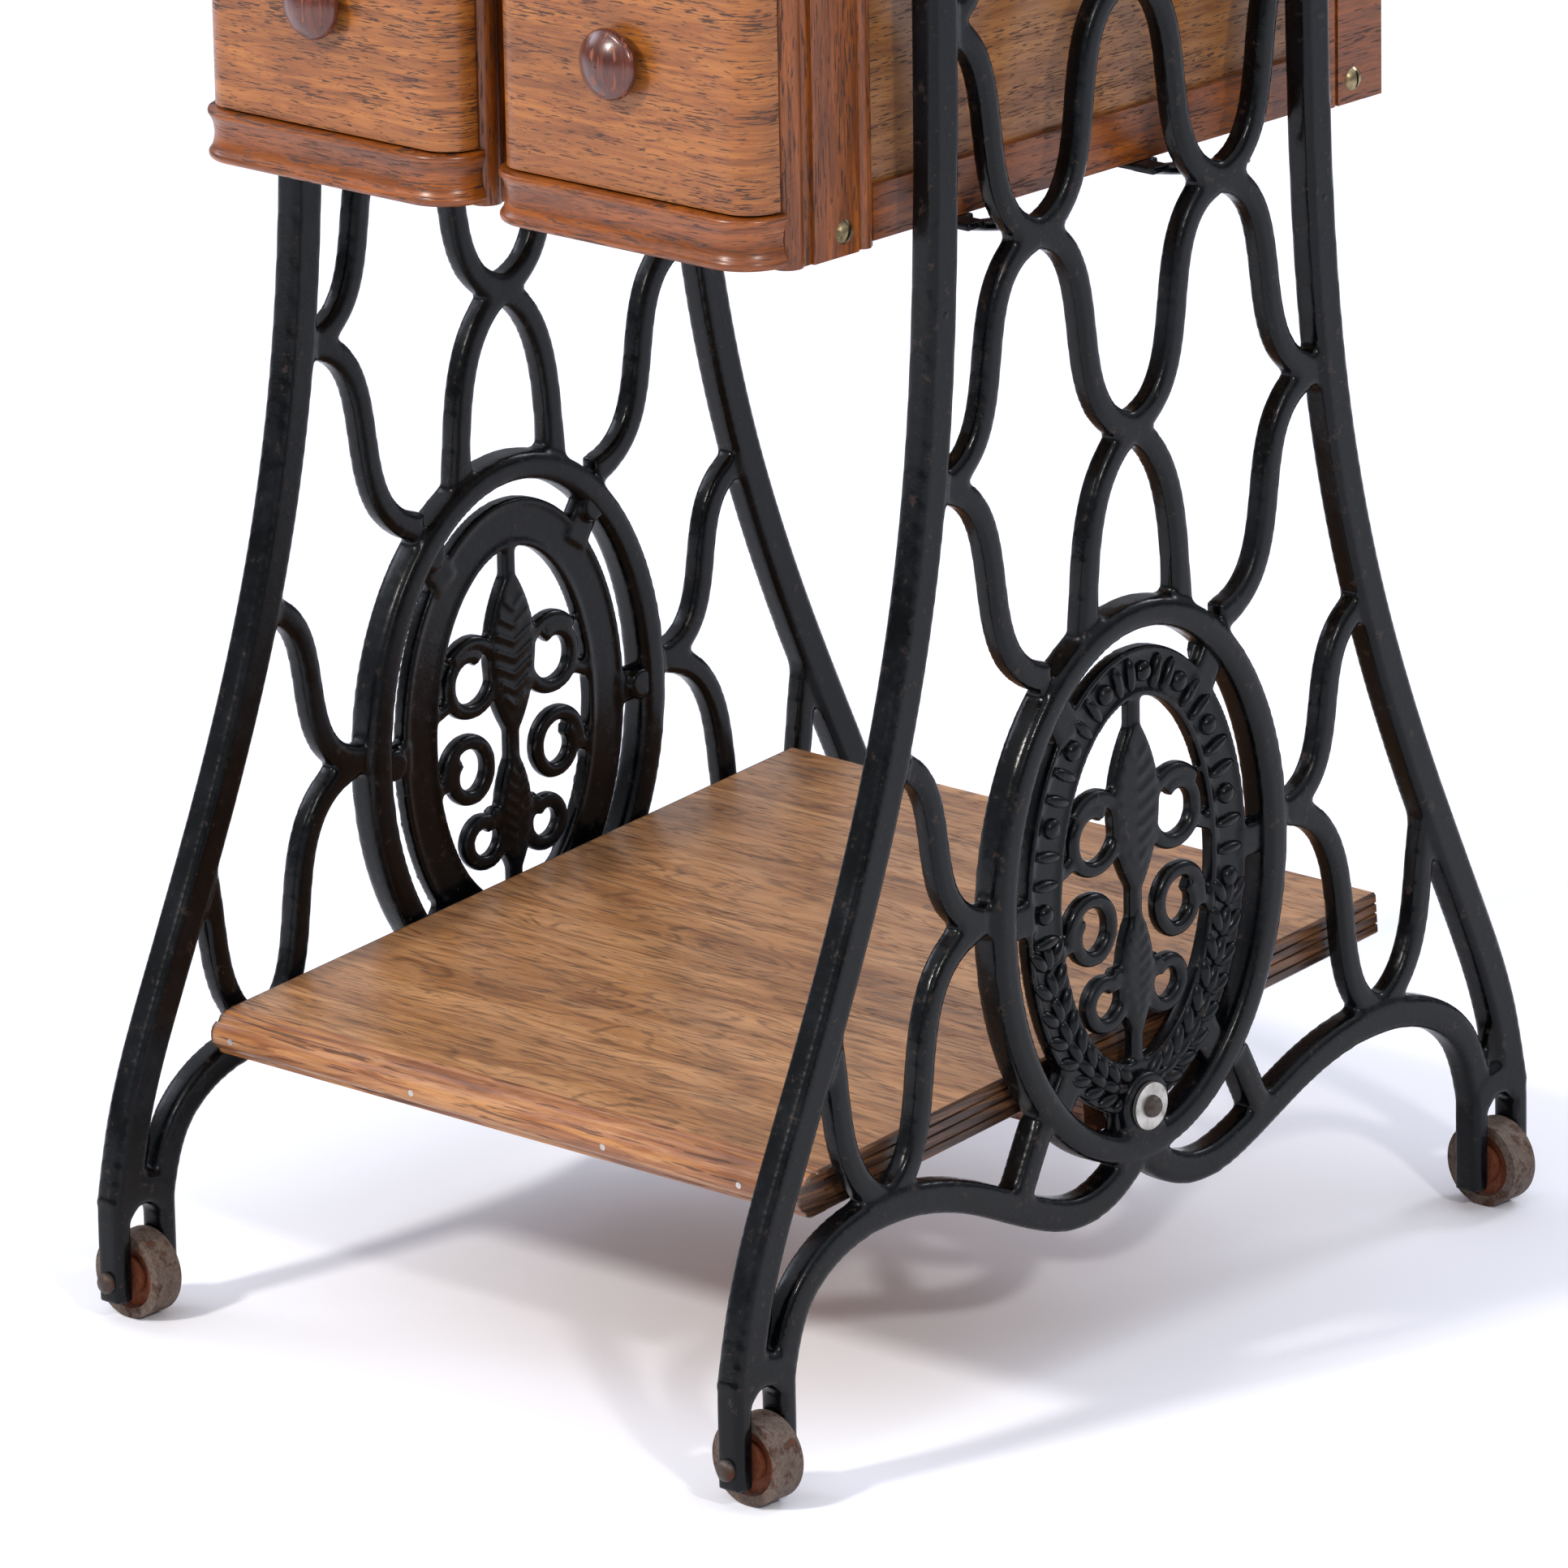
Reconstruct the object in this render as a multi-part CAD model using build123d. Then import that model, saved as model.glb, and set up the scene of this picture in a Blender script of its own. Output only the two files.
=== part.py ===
"""Treadle sewing machine: two openwork iron ends on casters, a rocking treadle board,
two oak drawer banks side by side between the irons, and an oak table top.

Millimetres. +X runs from the left iron to the right iron, the drawer fronts face -Y,
+Z is up, and the origin is on the floor at the middle of the stand."""
from build123d import *
import os
from math import cos, radians, sin

os.makedirs("parts", exist_ok=True)

# ---- Overall sizes ----
iron_spacing = 324.0       # between the middle planes of the two iron ends
iron_height = 706.0        # floor to the underside of the table top
caster_spacing = 432.0     # between the front and back caster wheels
table_length = 450.0       # along X
table_depth = 430.0        # along Y
table_thickness = 20.0

# ---- Clearances ----
running_fit = 0.05         # radial, shaft in a bore
drawer_gap = 1.0           # around a drawer box
front_gap = 3.0            # between one drawer front and the next
body_gap = 0.6             # between a moving piece and the fixed one beside it

# ---- Iron ends ----
leg_width = 14.5
leg_depth = 12.0
bar_width = 10.0
bar_depth = 8.6
chord_width = 12.5
chord_depth = 11.0
leg_top_y = 105.5          # leg centre line at the table
oval_centre_z = 188.0
oval_half_width = 85.0
oval_half_height = 110.0
oval_band = 11.0
oval_depth = 14.0
crossing_y = 52.0          # where two bars cross, away from the middle
row_low_z = 366.0          # leg joint and middle crossing, lower row
row_mid_z = 452.0          # crossings away from the middle
row_high_z = 540.0         # leg joint and middle crossing, upper row
row_top_z = 627.0          # uppermost crossings
rail_height = 12.0
flange_width = 34.0
flange_thickness = 6.0

# ---- Medallion inside the oval ----
medallion_half_width = 63.5
medallion_half_height = 92.0
medallion_band = 19.5
medallion_depth = 7.0
scroll_bar = 6.0

# ---- Casters ----
wheel_r = 17.0
wheel_width = 13.0
wheel_rim = 4.0
wheel_web = 6.0
wheel_hub_r = 7.5
caster_pin_r = 3.0
caster_pin_head_r = 4.3
fork_cheek = 9.0
fork_side_gap = 1.3
fork_top_gap = 6.0
foot_depth = 13.0
foot_base_z = 8.0
foot_top_z = 60.0

# ---- Treadle ----
pivot_z = 99.0
pivot_r = 4.0
pivot_head_r = 4.6
pivot_head_h = 3.6
pivot_boss_r = 13.0
washer_r = 9.3
washer_t = 1.6
treadle_tilt = 4.7         # the front edge hangs low when nobody's foot is on it
board_half_length = 153.5
board_front_y = -180.0
board_back_y = 158.0
board_thickness = 17.0
board_top_above_pivot = 30.0
nosing_width = 14.0
batten_width = 32.0
batten_height = 25.0
batten_half_length = 150.0
pivot_reach = 28.0         # length of a pivot bolt inside the batten
nail_r = 1.3

# ---- Drawer banks ----
bank_width = 137.0
bank_gap = 14.0
bank_base_z = 459.5
bank_front_y = -167.0      # front of the stiles
bank_back_y = 172.0
stile_thickness = 12.0
front_stile_width = 47.5
back_stile_width = 32.0
rail_width = 21.0
panel_thickness = 6.0
panel_recess = 4.0
base_height = 19.5
base_overhang = 20.0       # how far the base moulding stands in front of the stiles
base_corner_r = 20.0
base_cove = 1.8
base_bead = 0.2            # share of the height taken by each bead
back_thickness = 8.0
shelf_thickness = 8.0
bank_top_thickness = 10.0
brass_head_r = 4.6
brass_head_h = 2.4
brass_shank_r = 1.8
brass_shank_length = 9.0
brass_screw_z = 7.0        # above the underside of the bank
brass_screw_inset = 17.0   # from the edge of a stile

# ---- Drawers ----
drawer_front_height = 98.0
drawer_front_inset = 3.0   # narrower than the bank on each side
drawer_front_setback = 5.0 # behind the lip of the base moulding
drawer_front_corner_r = 18.0
drawer_wall = 8.0
drawer_bottom = 4.0
drawer_bottom_groove = 5.0
drawer_box_height = 78.0
drawer_box_depth = 290.0
knob_r = 13.5
knob_neck_r = 6.5
knob_neck_length = 3.0
knob_rim = 5.0
knob_dome = 4.5
knob_dowel_r = 4.0

# ---- Bearers under the banks ----
bearer_width = 15.0
bearer_thickness = 3.0
bearer_front_y = -80.0
bearer_back_y = 25.0
leaf_width = 10.0
leaf_thickness = 5.0
leaf_length = 58.0
leaf_drop = 9.0
leaf_leg_gap = 1.0         # between a leaf and the inner face of a leg

# ---- Table fixings ----
table_screw_r = 2.5
table_screw_head_r = 4.5
table_screw_head_h = 2.5
table_screw_bite = 11.0    # into the table top
table_screw_x = 11.0       # either side of an iron's middle plane
table_screw_y = 84.0
table_edge_r = 6.0

# ---- Machine head on its own plinth ----
plinth_length = 340.0
plinth_depth = 188.0
plinth_height = 40.0
bed_length = 305.0
bed_depth = 165.0
bed_thickness = 10.0
arm_depth = 42.0           # along Y
arm_height = 200.0         # top of the arm above the bed
head_under = 92.0          # underside of the needle head above the bed
shaft_height = 160.0       # hand wheel axis above the bed
hand_wheel_r = 58.0
hand_wheel_rim = 8.0
hand_wheel_width = 14.0
hand_wheel_hub_r = 14.0
shaft_r = 6.0
shaft_reach = 22.0
needle_bar_r = 3.0
needle_r = 0.8
needle_x = -134.0
needle_tip = 15.0          # above the bed, at the top of the stroke
needle_hole_r = 2.2
presser_bar_r = 3.4
presser_back = 13.0        # behind the needle
presser_foot_gap = 0.8
plate_thickness = 1.5
plate_fit = 0.15
spool_pin_r = 2.5
spool_pin_height = 36.0
spool_pin_seat_r = 2.0     # the thinner end, driven into the arm
spool_pin_seat_depth = 14.0
spool_pin_lift = 1.0       # the thick part starts this far above the arm
lever_thickness = 2.5
lever_width = 7.0
lever_pin_r = 3.0
lever_pin_seat = 12.0      # length of the pin inside the arm
lever_pivot_x = 16.0       # from the needle bar to the lever's pivot
lever_pivot_drop = 50.0    # pivot below the top of the arm
lever_rise = 34.0          # eye above the pivot
lever_eye_r = 1.4
dial_r = 11.0
dial_x = 14.0              # from the needle bar
dial_rise = 20.0           # above the underside of the head
dial_post_r = 2.5
dial_post_length = 16.0
dial_disc_thickness = 2.5
dial_nut_r = 6.0
dial_nut_length = 6.0
slide_plate_length = 88.0
slide_plate_half_width = 38.0
bay_margin = 4.0           # end of the bed to the plate's bay
spoke_width = 8.0
stop_knob_length = 8.0
hub_lip = 4.0              # hub past the rim
needle_shank = 30.0        # length of the needle below its clamp
clamp_wall = 1.8
clamp_height = 11.0
clamp_screw_r = 1.6
presser_sole_height = 2.5
presser_slot_half = 2.5
face_plate_thickness = 2.0

iron_x = iron_spacing / 2
caster_y = caster_spacing / 2
fork_half = wheel_width / 2 + fork_side_gap
foot_half = fork_half + fork_cheek
base_top_z = bank_base_z + base_height
front_base_y = bank_front_y - base_overhang


def export(shape, name):
    """Write one sub-part under its node name."""
    export_step(shape, f"parts/{name}.step")


def block(x0, x1, y0, y1, z0, z1):
    """A box given by its limits."""
    middle = Pos((x0 + x1) / 2, (y0 + y1) / 2, (z0 + z1) / 2)
    return middle * Box(abs(x1 - x0), abs(y1 - y0), abs(z1 - z0))


def rod_x(x0, x1, y, z, r):
    """A round bar along X."""
    return Pos((x0 + x1) / 2, y, z) * Rot(0, 90, 0) * Cylinder(r, abs(x1 - x0))


def rod_y(x, y0, y1, z, r):
    """A round bar along Y."""
    return Pos(x, (y0 + y1) / 2, z) * Rot(90, 0, 0) * Cylinder(r, abs(y1 - y0))


def rod_z(x, y, z0, z1, r):
    """A round bar along Z."""
    return Pos(x, y, (z0 + z1) / 2) * Cylinder(r, abs(z1 - z0))


def dome_arc(r, base, height):
    """The half outline of a spherical dome of base radius r, ending on the axis."""
    ball_r = (r ** 2 + height ** 2) / (2 * height)
    return RadiusArc((r, base), (0, base + height), -ball_r)


def dome(r, height):
    """A solid spherical cap standing on the XY plane."""
    outline = Line((0, 0), (r, 0)) + dome_arc(r, 0, height) + Line((0, height), (0, 0))
    return revolve(Plane.XZ * make_face(outline), Axis.Z)


def both_sides(shape):
    """The shape and its mirror image across the middle of the stand."""
    return [shape, mirror(shape, about=Plane.YZ)]


# ---------------------------------------------------------------- iron ends
# Each outline is drawn in a plane of (distance along Y, height), for one half
# of an end, and mirrored to the other half.

def stroke(curve, width):
    """A bar of even width along a curve, with round ends."""
    ends = [Pos(*tuple(curve @ t)[:2]) * Circle(width / 2) for t in (0, 1)]
    return trace(curve, line_width=width) + ends[0] + ends[1]


def s_bar(start, end, width=bar_width, lead=0.81, rise=0.14, bulge=0.0):
    """A bar that leaves and meets its joints sideways and stands steep between them."""
    dy = end[0] - start[0]
    dz = end[1] - start[1]
    first = (start[0] + lead * dy + bulge, start[1] + rise * dz)
    last = (end[0] - lead * dy + bulge, end[1] - rise * dz)
    return stroke(Bezier(start, first, last, end), width)


def leg_outline():
    foot_in = caster_y + 8
    line = Spline(
        (leg_top_y, iron_height - leg_width / 2),
        (leg_top_y, row_high_z),
        (leg_top_y + 2, row_mid_z),
        (leg_top_y + 10.5, row_low_z - 5),
        (leg_top_y + 29, oval_centre_z + 92),
        (caster_y - 52, oval_centre_z + 13),
        (caster_y - 17, pivot_z + 27),
        (caster_y + 2, pivot_z - 19),
        (foot_in, foot_top_z - 8),
    )
    return stroke(line, leg_width)


def chord_outline():
    """The wavy bottom rail: from the foot over a crest and down under the oval."""
    line = Spline(
        (caster_y - 11, foot_top_z - 12),
        (caster_y - 21, pivot_z - 25),
        (caster_y - 36, pivot_z - 12),
        (caster_y - 72, pivot_z - 3),
        (caster_y - 118, pivot_z - 11.5),
        (caster_y - 157, pivot_z - 28.5),
        (35, pivot_z - 34),
        (14, pivot_z - 28),
        (2, pivot_z - 19),
    )
    strut = stroke(Line((57, pivot_z + 6), (70, pivot_z - 19)), chord_width)
    return stroke(line, chord_width) + strut


def lattice_outline():
    leg_low = (leg_top_y + 2, row_low_z)
    leg_high = (leg_top_y - 2, row_high_z)
    crossing = (crossing_y, row_mid_z)
    shoulder = (50, oval_centre_z + 92)
    hip = (caster_y - 78, oval_centre_z + 79)
    side = (oval_half_width + 3, oval_centre_z + 6)
    crest = (caster_y - 71, pivot_z)
    knee = (caster_y - 40, pivot_z + 77)
    top = (crossing_y, row_top_z)
    rail_z = iron_height - rail_height / 2
    bars = [
        s_bar(crossing, (0, row_high_z)),
        s_bar(crossing, leg_high),
        s_bar(crossing, (0, row_low_z)),
        s_bar(crossing, leg_low),
        s_bar(leg_low, shoulder),
        stroke(Bezier((0, row_low_z), (22, row_low_z - 14), (26, row_low_z - 36),
                      (27, oval_centre_z + 103)), bar_width),
        s_bar(hip, side),
        s_bar(side, crest, bulge=8),
        stroke(Bezier(knee, (knee[0] - 10, knee[1] - 26), (knee[0], crest[1] + 16), crest), bar_width),
        s_bar((0, row_high_z), top),
        s_bar(leg_high, top),
        stroke(Bezier(top, (24, row_top_z + 14), (26, row_top_z + 40), (20, rail_z)), bar_width),
        stroke(Bezier(top, (80, row_top_z + 14), (78, row_top_z + 40), (84, rail_z)), bar_width),
    ]
    outline = bars[0]
    for bar in bars[1:]:
        outline += bar
    return outline


def foot_outline():
    """The fork that holds a caster wheel, as a round-topped block."""
    height = foot_top_z - foot_base_z
    middle = Pos(caster_y, (foot_top_z + foot_base_z) / 2)
    return middle * RectangleRounded(2 * foot_half, height, 6)


def oval_outline():
    outer = Ellipse(oval_half_width, oval_half_height)
    inner = Ellipse(oval_half_width - oval_band - 1.5, oval_half_height - oval_band + 1.5)
    boss = Pos(0, pivot_z) * Circle(pivot_boss_r)
    return Pos(0, oval_centre_z) * (outer - inner) + boss


def medallion_outline():
    """An oval band on four lugs, with a plain scroll-and-leaf ornament inside it."""
    inner_w = medallion_half_width - medallion_band
    inner_h = medallion_half_height - medallion_band
    band = Ellipse(medallion_half_width, medallion_half_height) - Ellipse(inner_w, inner_h)
    reach = oval_half_width - 6
    side_lug = Pos(0, 0) * Rectangle(2 * reach, 15)
    top_lugs = Polygon((-54, 70), (-38, 88), (54, -70), (38, -88), align=None)
    lugs = side_lug + top_lugs + mirror(top_lugs, about=Plane.YZ)
    lugs = lugs - Ellipse(medallion_half_width - 4, medallion_half_height - 4)
    ring = Circle(17) - Circle(17 - scroll_bar)
    small = Circle(13) - Circle(13 - scroll_bar)
    stem = Rectangle(scroll_bar + 2, 2 * inner_h + 6)
    leaf = Ellipse(10, 26)
    scrolls = Pos(19, 20) * ring + Pos(27, -15) * small + Pos(14, -42) * small
    cross = Pos(37, 14) * Rectangle(18, scroll_bar)
    half = scrolls + cross + Pos(39, -16) * Rectangle(12, scroll_bar)
    ornament = stem + Pos(0, 34) * leaf + half + mirror(half, about=Plane.YZ)
    ornament = ornament & Ellipse(inner_w + 3, inner_h + 3)
    neck = Pos(0, -medallion_half_height + 6) * Rectangle(30, 18)
    return Pos(0, oval_centre_z) * (band + lugs + ornament + neck)


def plate(outline, depth):
    """Extrude a (Y, Z) outline equally to both sides of the iron's middle plane."""
    return extrude(Plane.YZ * outline, amount=depth / 2, both=True)


def two_halves(outline):
    return outline + mirror(outline, about=Plane.YZ)


def iron_end():
    """One cast end, standing in the plane X = 0."""
    casting = plate(two_halves(leg_outline()), leg_depth)
    casting += plate(two_halves(lattice_outline()), bar_depth)
    casting += plate(two_halves(chord_outline()), chord_depth)
    casting += plate(oval_outline(), oval_depth)
    casting += plate(medallion_outline(), medallion_depth)
    casting += plate(two_halves(foot_outline()), foot_depth)
    rail_end = leg_top_y + leg_width / 2
    casting += block(-leg_depth / 2, leg_depth / 2, -rail_end, rail_end,
                     iron_height - rail_height, iron_height)
    casting += block(-flange_width / 2, flange_width / 2, -rail_end, rail_end,
                     iron_height - flange_thickness, iron_height)
    casting -= rod_x(-oval_depth, oval_depth, 0, pivot_z, pivot_r + running_fit)
    slot_top = 2 * wheel_r + fork_top_gap
    for side in (-1, 1):
        y = side * caster_y
        casting -= block(-foot_depth, foot_depth, y - fork_half, y + fork_half,
                         0, slot_top - fork_half)
        casting -= rod_x(-foot_depth, foot_depth, y, slot_top - fork_half, fork_half)
        casting -= rod_y(0, y - foot_half - 2, y + foot_half + 2, wheel_r, caster_pin_r + running_fit)
        for x in (-table_screw_x, table_screw_x):
            casting -= rod_z(x, side * table_screw_y, iron_height - 2 * flange_thickness,
                             iron_height + 1, table_screw_r + running_fit)
    return casting


def caster_wheel():
    """A rimmed wheel on a hub, with its axis along Y and its centre at the origin."""
    half = wheel_width / 2
    rim = rod_y(0, -half, half, 0, wheel_r) - rod_y(0, -half, half, 0, wheel_r - wheel_rim)
    web = rod_y(0, -wheel_web / 2, wheel_web / 2, 0, wheel_r - wheel_rim / 2)
    hub = rod_y(0, -half, half, 0, wheel_hub_r)
    return rim + web + hub - rod_y(0, -half, half, 0, caster_pin_r + running_fit)


def caster_pin(side):
    """A pin along Y through one fork, with its round head on the outside."""
    inner = side * (caster_y - foot_half)
    outer = side * (caster_y + foot_half)
    shank = rod_y(0, inner, outer, wheel_r, caster_pin_r)
    head = rod_y(0, outer, outer + side * 3.4, wheel_r, caster_pin_head_r)
    return shank + head


iron = iron_end()
export(Pos(iron_x, 0, 0) * iron, "iron_end_right")
export(mirror(Pos(iron_x, 0, 0) * iron, about=Plane.YZ), "iron_end_left")

wheel = caster_wheel()
for name, x, y in (("front_left", -iron_x, -caster_y), ("front_right", iron_x, -caster_y),
                   ("back_left", -iron_x, caster_y), ("back_right", iron_x, caster_y)):
    export(Pos(x, y, wheel_r) * wheel, f"caster_wheel_{name}")
pins = [Pos(x, 0, 0) * caster_pin(side) for x in (-iron_x, iron_x) for side in (-1, 1)]
export(Compound(children=pins), "caster_pins")

# ---------------------------------------------------------------- treadle

def tilted(shape):
    """Turn a piece of the level treadle to its place at rest, about the pivot."""
    return Pos(0, 0, pivot_z) * Rot(treadle_tilt, 0, 0) * Pos(0, 0, -pivot_z) * shape


board_top_z = pivot_z + board_top_above_pivot
board_under_z = board_top_z - board_thickness
board_joint_y = board_front_y + nosing_width
export(tilted(block(-board_half_length, board_half_length, board_joint_y, board_back_y,
                    board_under_z, board_top_z)), "treadle_board")

nosing = block(-board_half_length, board_half_length, board_front_y, board_joint_y,
               board_under_z, board_top_z)
front_edges = nosing.edges().filter_by(Axis.X).group_by(Axis.Y)[0]
nosing = fillet(front_edges, board_thickness * 0.35)
nail_xs = (-0.93 * board_half_length, -0.3 * board_half_length,
           0.35 * board_half_length, 0.8 * board_half_length)
nail_z = (board_under_z + board_top_z) / 2
nail_depth = nosing_width * 0.7
for x in nail_xs:
    nosing -= rod_y(x, board_front_y - 1, board_front_y + nail_depth, nail_z, nail_r)
export(tilted(nosing), "treadle_nosing")
nails = [tilted(rod_y(x, board_front_y, board_front_y + nail_depth, nail_z, nail_r)) for x in nail_xs]
export(Compound(children=nails), "treadle_nosing_nails")

batten = block(-batten_half_length, batten_half_length, -batten_width / 2, batten_width / 2,
               board_under_z - batten_height, board_under_z)
for side in (-1, 1):
    batten -= rod_x(side * (batten_half_length - pivot_reach - 1), side * (batten_half_length + 1),
                    0, pivot_z, pivot_r + running_fit)
export(tilted(batten), "treadle_batten")

iron_face_x = iron_x + oval_depth / 2
bolt = rod_x(batten_half_length - pivot_reach, iron_face_x + washer_t, 0, pivot_z, pivot_r)
bolt += rod_x(iron_face_x + washer_t, iron_face_x + washer_t + pivot_head_h, 0, pivot_z, pivot_head_r)
export(Compound(children=both_sides(bolt)), "pivot_bolts")
washer = rod_x(iron_face_x, iron_face_x + washer_t, 0, pivot_z, washer_r)
washer -= rod_x(iron_face_x, iron_face_x + washer_t, 0, pivot_z, pivot_r + running_fit)
export(Compound(children=both_sides(washer)), "pivot_washers")

# ---------------------------------------------------------------- drawer banks

bank_top_z = iron_height - body_gap
side_top_z = bank_top_z - bank_top_thickness
drawer_pitch = drawer_front_height + front_gap
first_front_z = base_top_z + 1.0
shelf_z = first_front_z + drawer_pitch - front_gap / 2 - shelf_thickness / 2


def front_stile(x_outer, side):
    """A moulded stile: round bead at the front corner, a flat, and a narrow bead."""
    bead_r = stile_thickness / 2
    y0 = bank_front_y
    y1 = y0 + front_stile_width
    outer = x_outer
    inner = x_outer - side * stile_thickness
    body = block(inner, outer - side * 1.5, y0 + bead_r, y1, bank_base_z - 2, side_top_z)
    raised = block(inner, outer, y0 + 2 * bead_r + 2, y1 - 9, bank_base_z - 2, side_top_z)
    bead = rod_z(outer - side * bead_r, y0 + bead_r, bank_base_z - 2, side_top_z, bead_r)
    small = rod_z(outer - side * 3.5, y1 - 3.5, bank_base_z - 2, side_top_z, 3.5)
    return body + raised + bead + small - brass_hole(x_outer, side, y1 - brass_screw_inset)


def brass_hole(x_outer, side, y):
    z = bank_base_z + brass_screw_z
    return rod_x(x_outer - side * brass_shank_length, x_outer + side, y, z, brass_shank_r)


def brass_screw(x_outer, side, y):
    """A round-head screw let into the side of a bank."""
    z = bank_base_z + brass_screw_z
    shank = rod_x(x_outer - side * brass_shank_length, x_outer, y, z, brass_shank_r)
    return shank + Pos(x_outer, y, z) * Rot(0, side * 90, 0) * dome(brass_head_r, brass_head_h)


def side_frame(x_outer, side):
    """Back stile with the bottom and top rails of one side, joined."""
    inner = x_outer - side * stile_thickness
    y0 = bank_front_y + front_stile_width
    y1 = bank_back_y - back_stile_width
    stile = block(inner, x_outer, y1, bank_back_y, bank_base_z - 2, side_top_z)
    stile -= block(x_outer - side * 1.2, x_outer + side, y1 + 4, y1 + 6, bank_base_z - 3, side_top_z + 1)
    low = block(inner, x_outer - side, y0, y1, bank_base_z, bank_base_z + rail_width)
    high = block(inner, x_outer - side, y0, y1, side_top_z - rail_width, side_top_z)
    return stile + low + high - brass_hole(x_outer, side, bank_back_y - brass_screw_inset)


def side_panel(x_outer, side):
    y0 = bank_front_y + front_stile_width
    y1 = bank_back_y - back_stile_width
    face = x_outer - side * panel_recess
    return block(face, face - side * panel_thickness, y0, y1, bank_base_z + rail_width,
                 side_top_z - rail_width)


def base_moulding(x0, x1):
    """The shelf-like base: bead, cove and bead round a slab with rounded front corners."""
    layers = ((0.0, base_bead, 0.0), (base_bead, 1.0 - base_bead, base_cove), (1.0 - base_bead, 1.0, 0.0))
    shape = None
    for low, high, inset in layers:
        width = x1 - x0 - 2 * inset
        depth = base_overhang + stile_thickness
        slab = Box(width, depth - inset, base_height * (high - low))
        slab = fillet(slab.edges().filter_by(Axis.Z).group_by(Axis.Y)[0], base_corner_r - inset - 0.5)
        y_middle = front_base_y + inset + (depth - inset) / 2
        z_middle = bank_base_z + base_height * (low + high) / 2
        layer = Pos((x0 + x1) / 2, y_middle, z_middle) * slab
        shape = layer if shape is None else shape + layer
    for side, x in ((-1, x0), (1, x1)):
        shape -= block(x - side * (stile_thickness + 0.01), x + side, bank_front_y,
                       bank_front_y + stile_thickness + 1, bank_base_z - 1, base_top_z + 1)
    return shape


def drawer_front(x0, x1, z0):
    front_y = front_base_y + drawer_front_setback
    depth = bank_front_y - front_y - body_gap
    width = x1 - x0 - 2 * drawer_front_inset
    slab = Box(width, depth, drawer_front_height)
    corner = min(drawer_front_corner_r, depth - 0.5)
    slab = fillet(slab.edges().filter_by(Axis.Z).group_by(Axis.Y)[0], corner)
    shape = Pos((x0 + x1) / 2, front_y + depth / 2, z0 + drawer_front_height / 2) * slab
    return shape - rod_y((x0 + x1) / 2, front_y - 1, bank_front_y + 1,
                         z0 + drawer_front_height / 2, knob_dowel_r)


def drawer_limits(x0, x1, z0):
    """Outer limits of the box behind a drawer front."""
    left = x0 + stile_thickness + drawer_gap
    right = x1 - stile_thickness - drawer_gap
    y0 = bank_front_y - body_gap
    base = z0 + 6.0
    return left, right, y0, y0 + drawer_box_depth, base, base + drawer_box_height


def drawer_box(x0, x1, z0):
    left, right, y0, y1, low, high = drawer_limits(x0, x1, z0)
    outside = block(left, right, y0, y1, low, high)
    inside = block(left + drawer_wall, right - drawer_wall, y0 + drawer_wall, y1 - drawer_wall,
                   low - 1, high + 1)
    groove_z = low + drawer_bottom_groove
    groove = block(left + drawer_wall / 2, right - drawer_wall / 2, y0 + drawer_wall / 2,
                   y1 - drawer_wall / 2, groove_z, groove_z + drawer_bottom)
    return outside - inside - groove


def drawer_floor(x0, x1, z0):
    left, right, y0, y1, low, high = drawer_limits(x0, x1, z0)
    edge = drawer_wall / 2
    z = low + drawer_bottom_groove
    return block(left + edge, right - edge, y0 + edge, y1 - edge, z, z + drawer_bottom)


def knob(x, z):
    """A turned mushroom knob whose dowel is glued through the drawer front."""
    face_y = front_base_y + drawer_front_setback
    dowel = bank_front_y - face_y - body_gap
    under = dowel + knob_neck_length
    top = under + knob_rim
    edge_r = knob_r - 1.5
    lines = Polyline((0, top + knob_dome), (0, 0), (knob_dowel_r, 0), (knob_dowel_r, dowel),
                     (knob_neck_r, dowel), (knob_neck_r, under), (edge_r, under))
    rim = ThreePointArc((edge_r, under), (knob_r, under + knob_rim / 2), (edge_r, top))
    turned = revolve(make_face(lines + rim + dome_arc(edge_r, top, knob_dome)), Axis.Y)
    return Pos(x, face_y + dowel, z) * Rot(0, 0, 180) * turned


def bank(name, x0, x1):
    """One bank with its two drawers, between the planes x0 and x1."""
    front_pair = [front_stile(x0, -1), front_stile(x1, 1)]
    export(Compound(children=front_pair), f"{name}_front_stiles")
    frames = [side_frame(x0, -1), side_frame(x1, 1)]
    export(Compound(children=frames), f"{name}_side_frames")
    panels = [side_panel(x0, -1), side_panel(x1, 1)]
    export(Compound(children=panels), f"{name}_side_panels")
    export(base_moulding(x0, x1), f"{name}_base_moulding")
    inner0 = x0 + stile_thickness
    inner1 = x1 - stile_thickness
    floor_y = bank_front_y + stile_thickness
    export(block(inner0, inner1, floor_y, bank_back_y - back_thickness, bank_base_z,
                 bank_base_z + shelf_thickness), f"{name}_floor")
    export(block(inner0, inner1, floor_y, bank_back_y - back_thickness,
                 shelf_z - shelf_thickness / 2, shelf_z + shelf_thickness / 2), f"{name}_shelf")
    export(block(inner0, inner1, bank_back_y - back_thickness, bank_back_y,
                 bank_base_z, side_top_z), f"{name}_back")
    export(block(x0, x1, bank_front_y - 6, bank_back_y, side_top_z, bank_top_z), f"{name}_top_board")
    for level, label in enumerate(("lower", "upper")):
        z0 = first_front_z + level * drawer_pitch
        export(drawer_front(x0, x1, z0), f"{name}_{label}_drawer_front")
        export(drawer_box(x0, x1, z0), f"{name}_{label}_drawer_box")
        export(drawer_floor(x0, x1, z0), f"{name}_{label}_drawer_floor")
        export(knob((x0 + x1) / 2, z0 + drawer_front_height / 2), f"{name}_{label}_drawer_knob")


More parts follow.
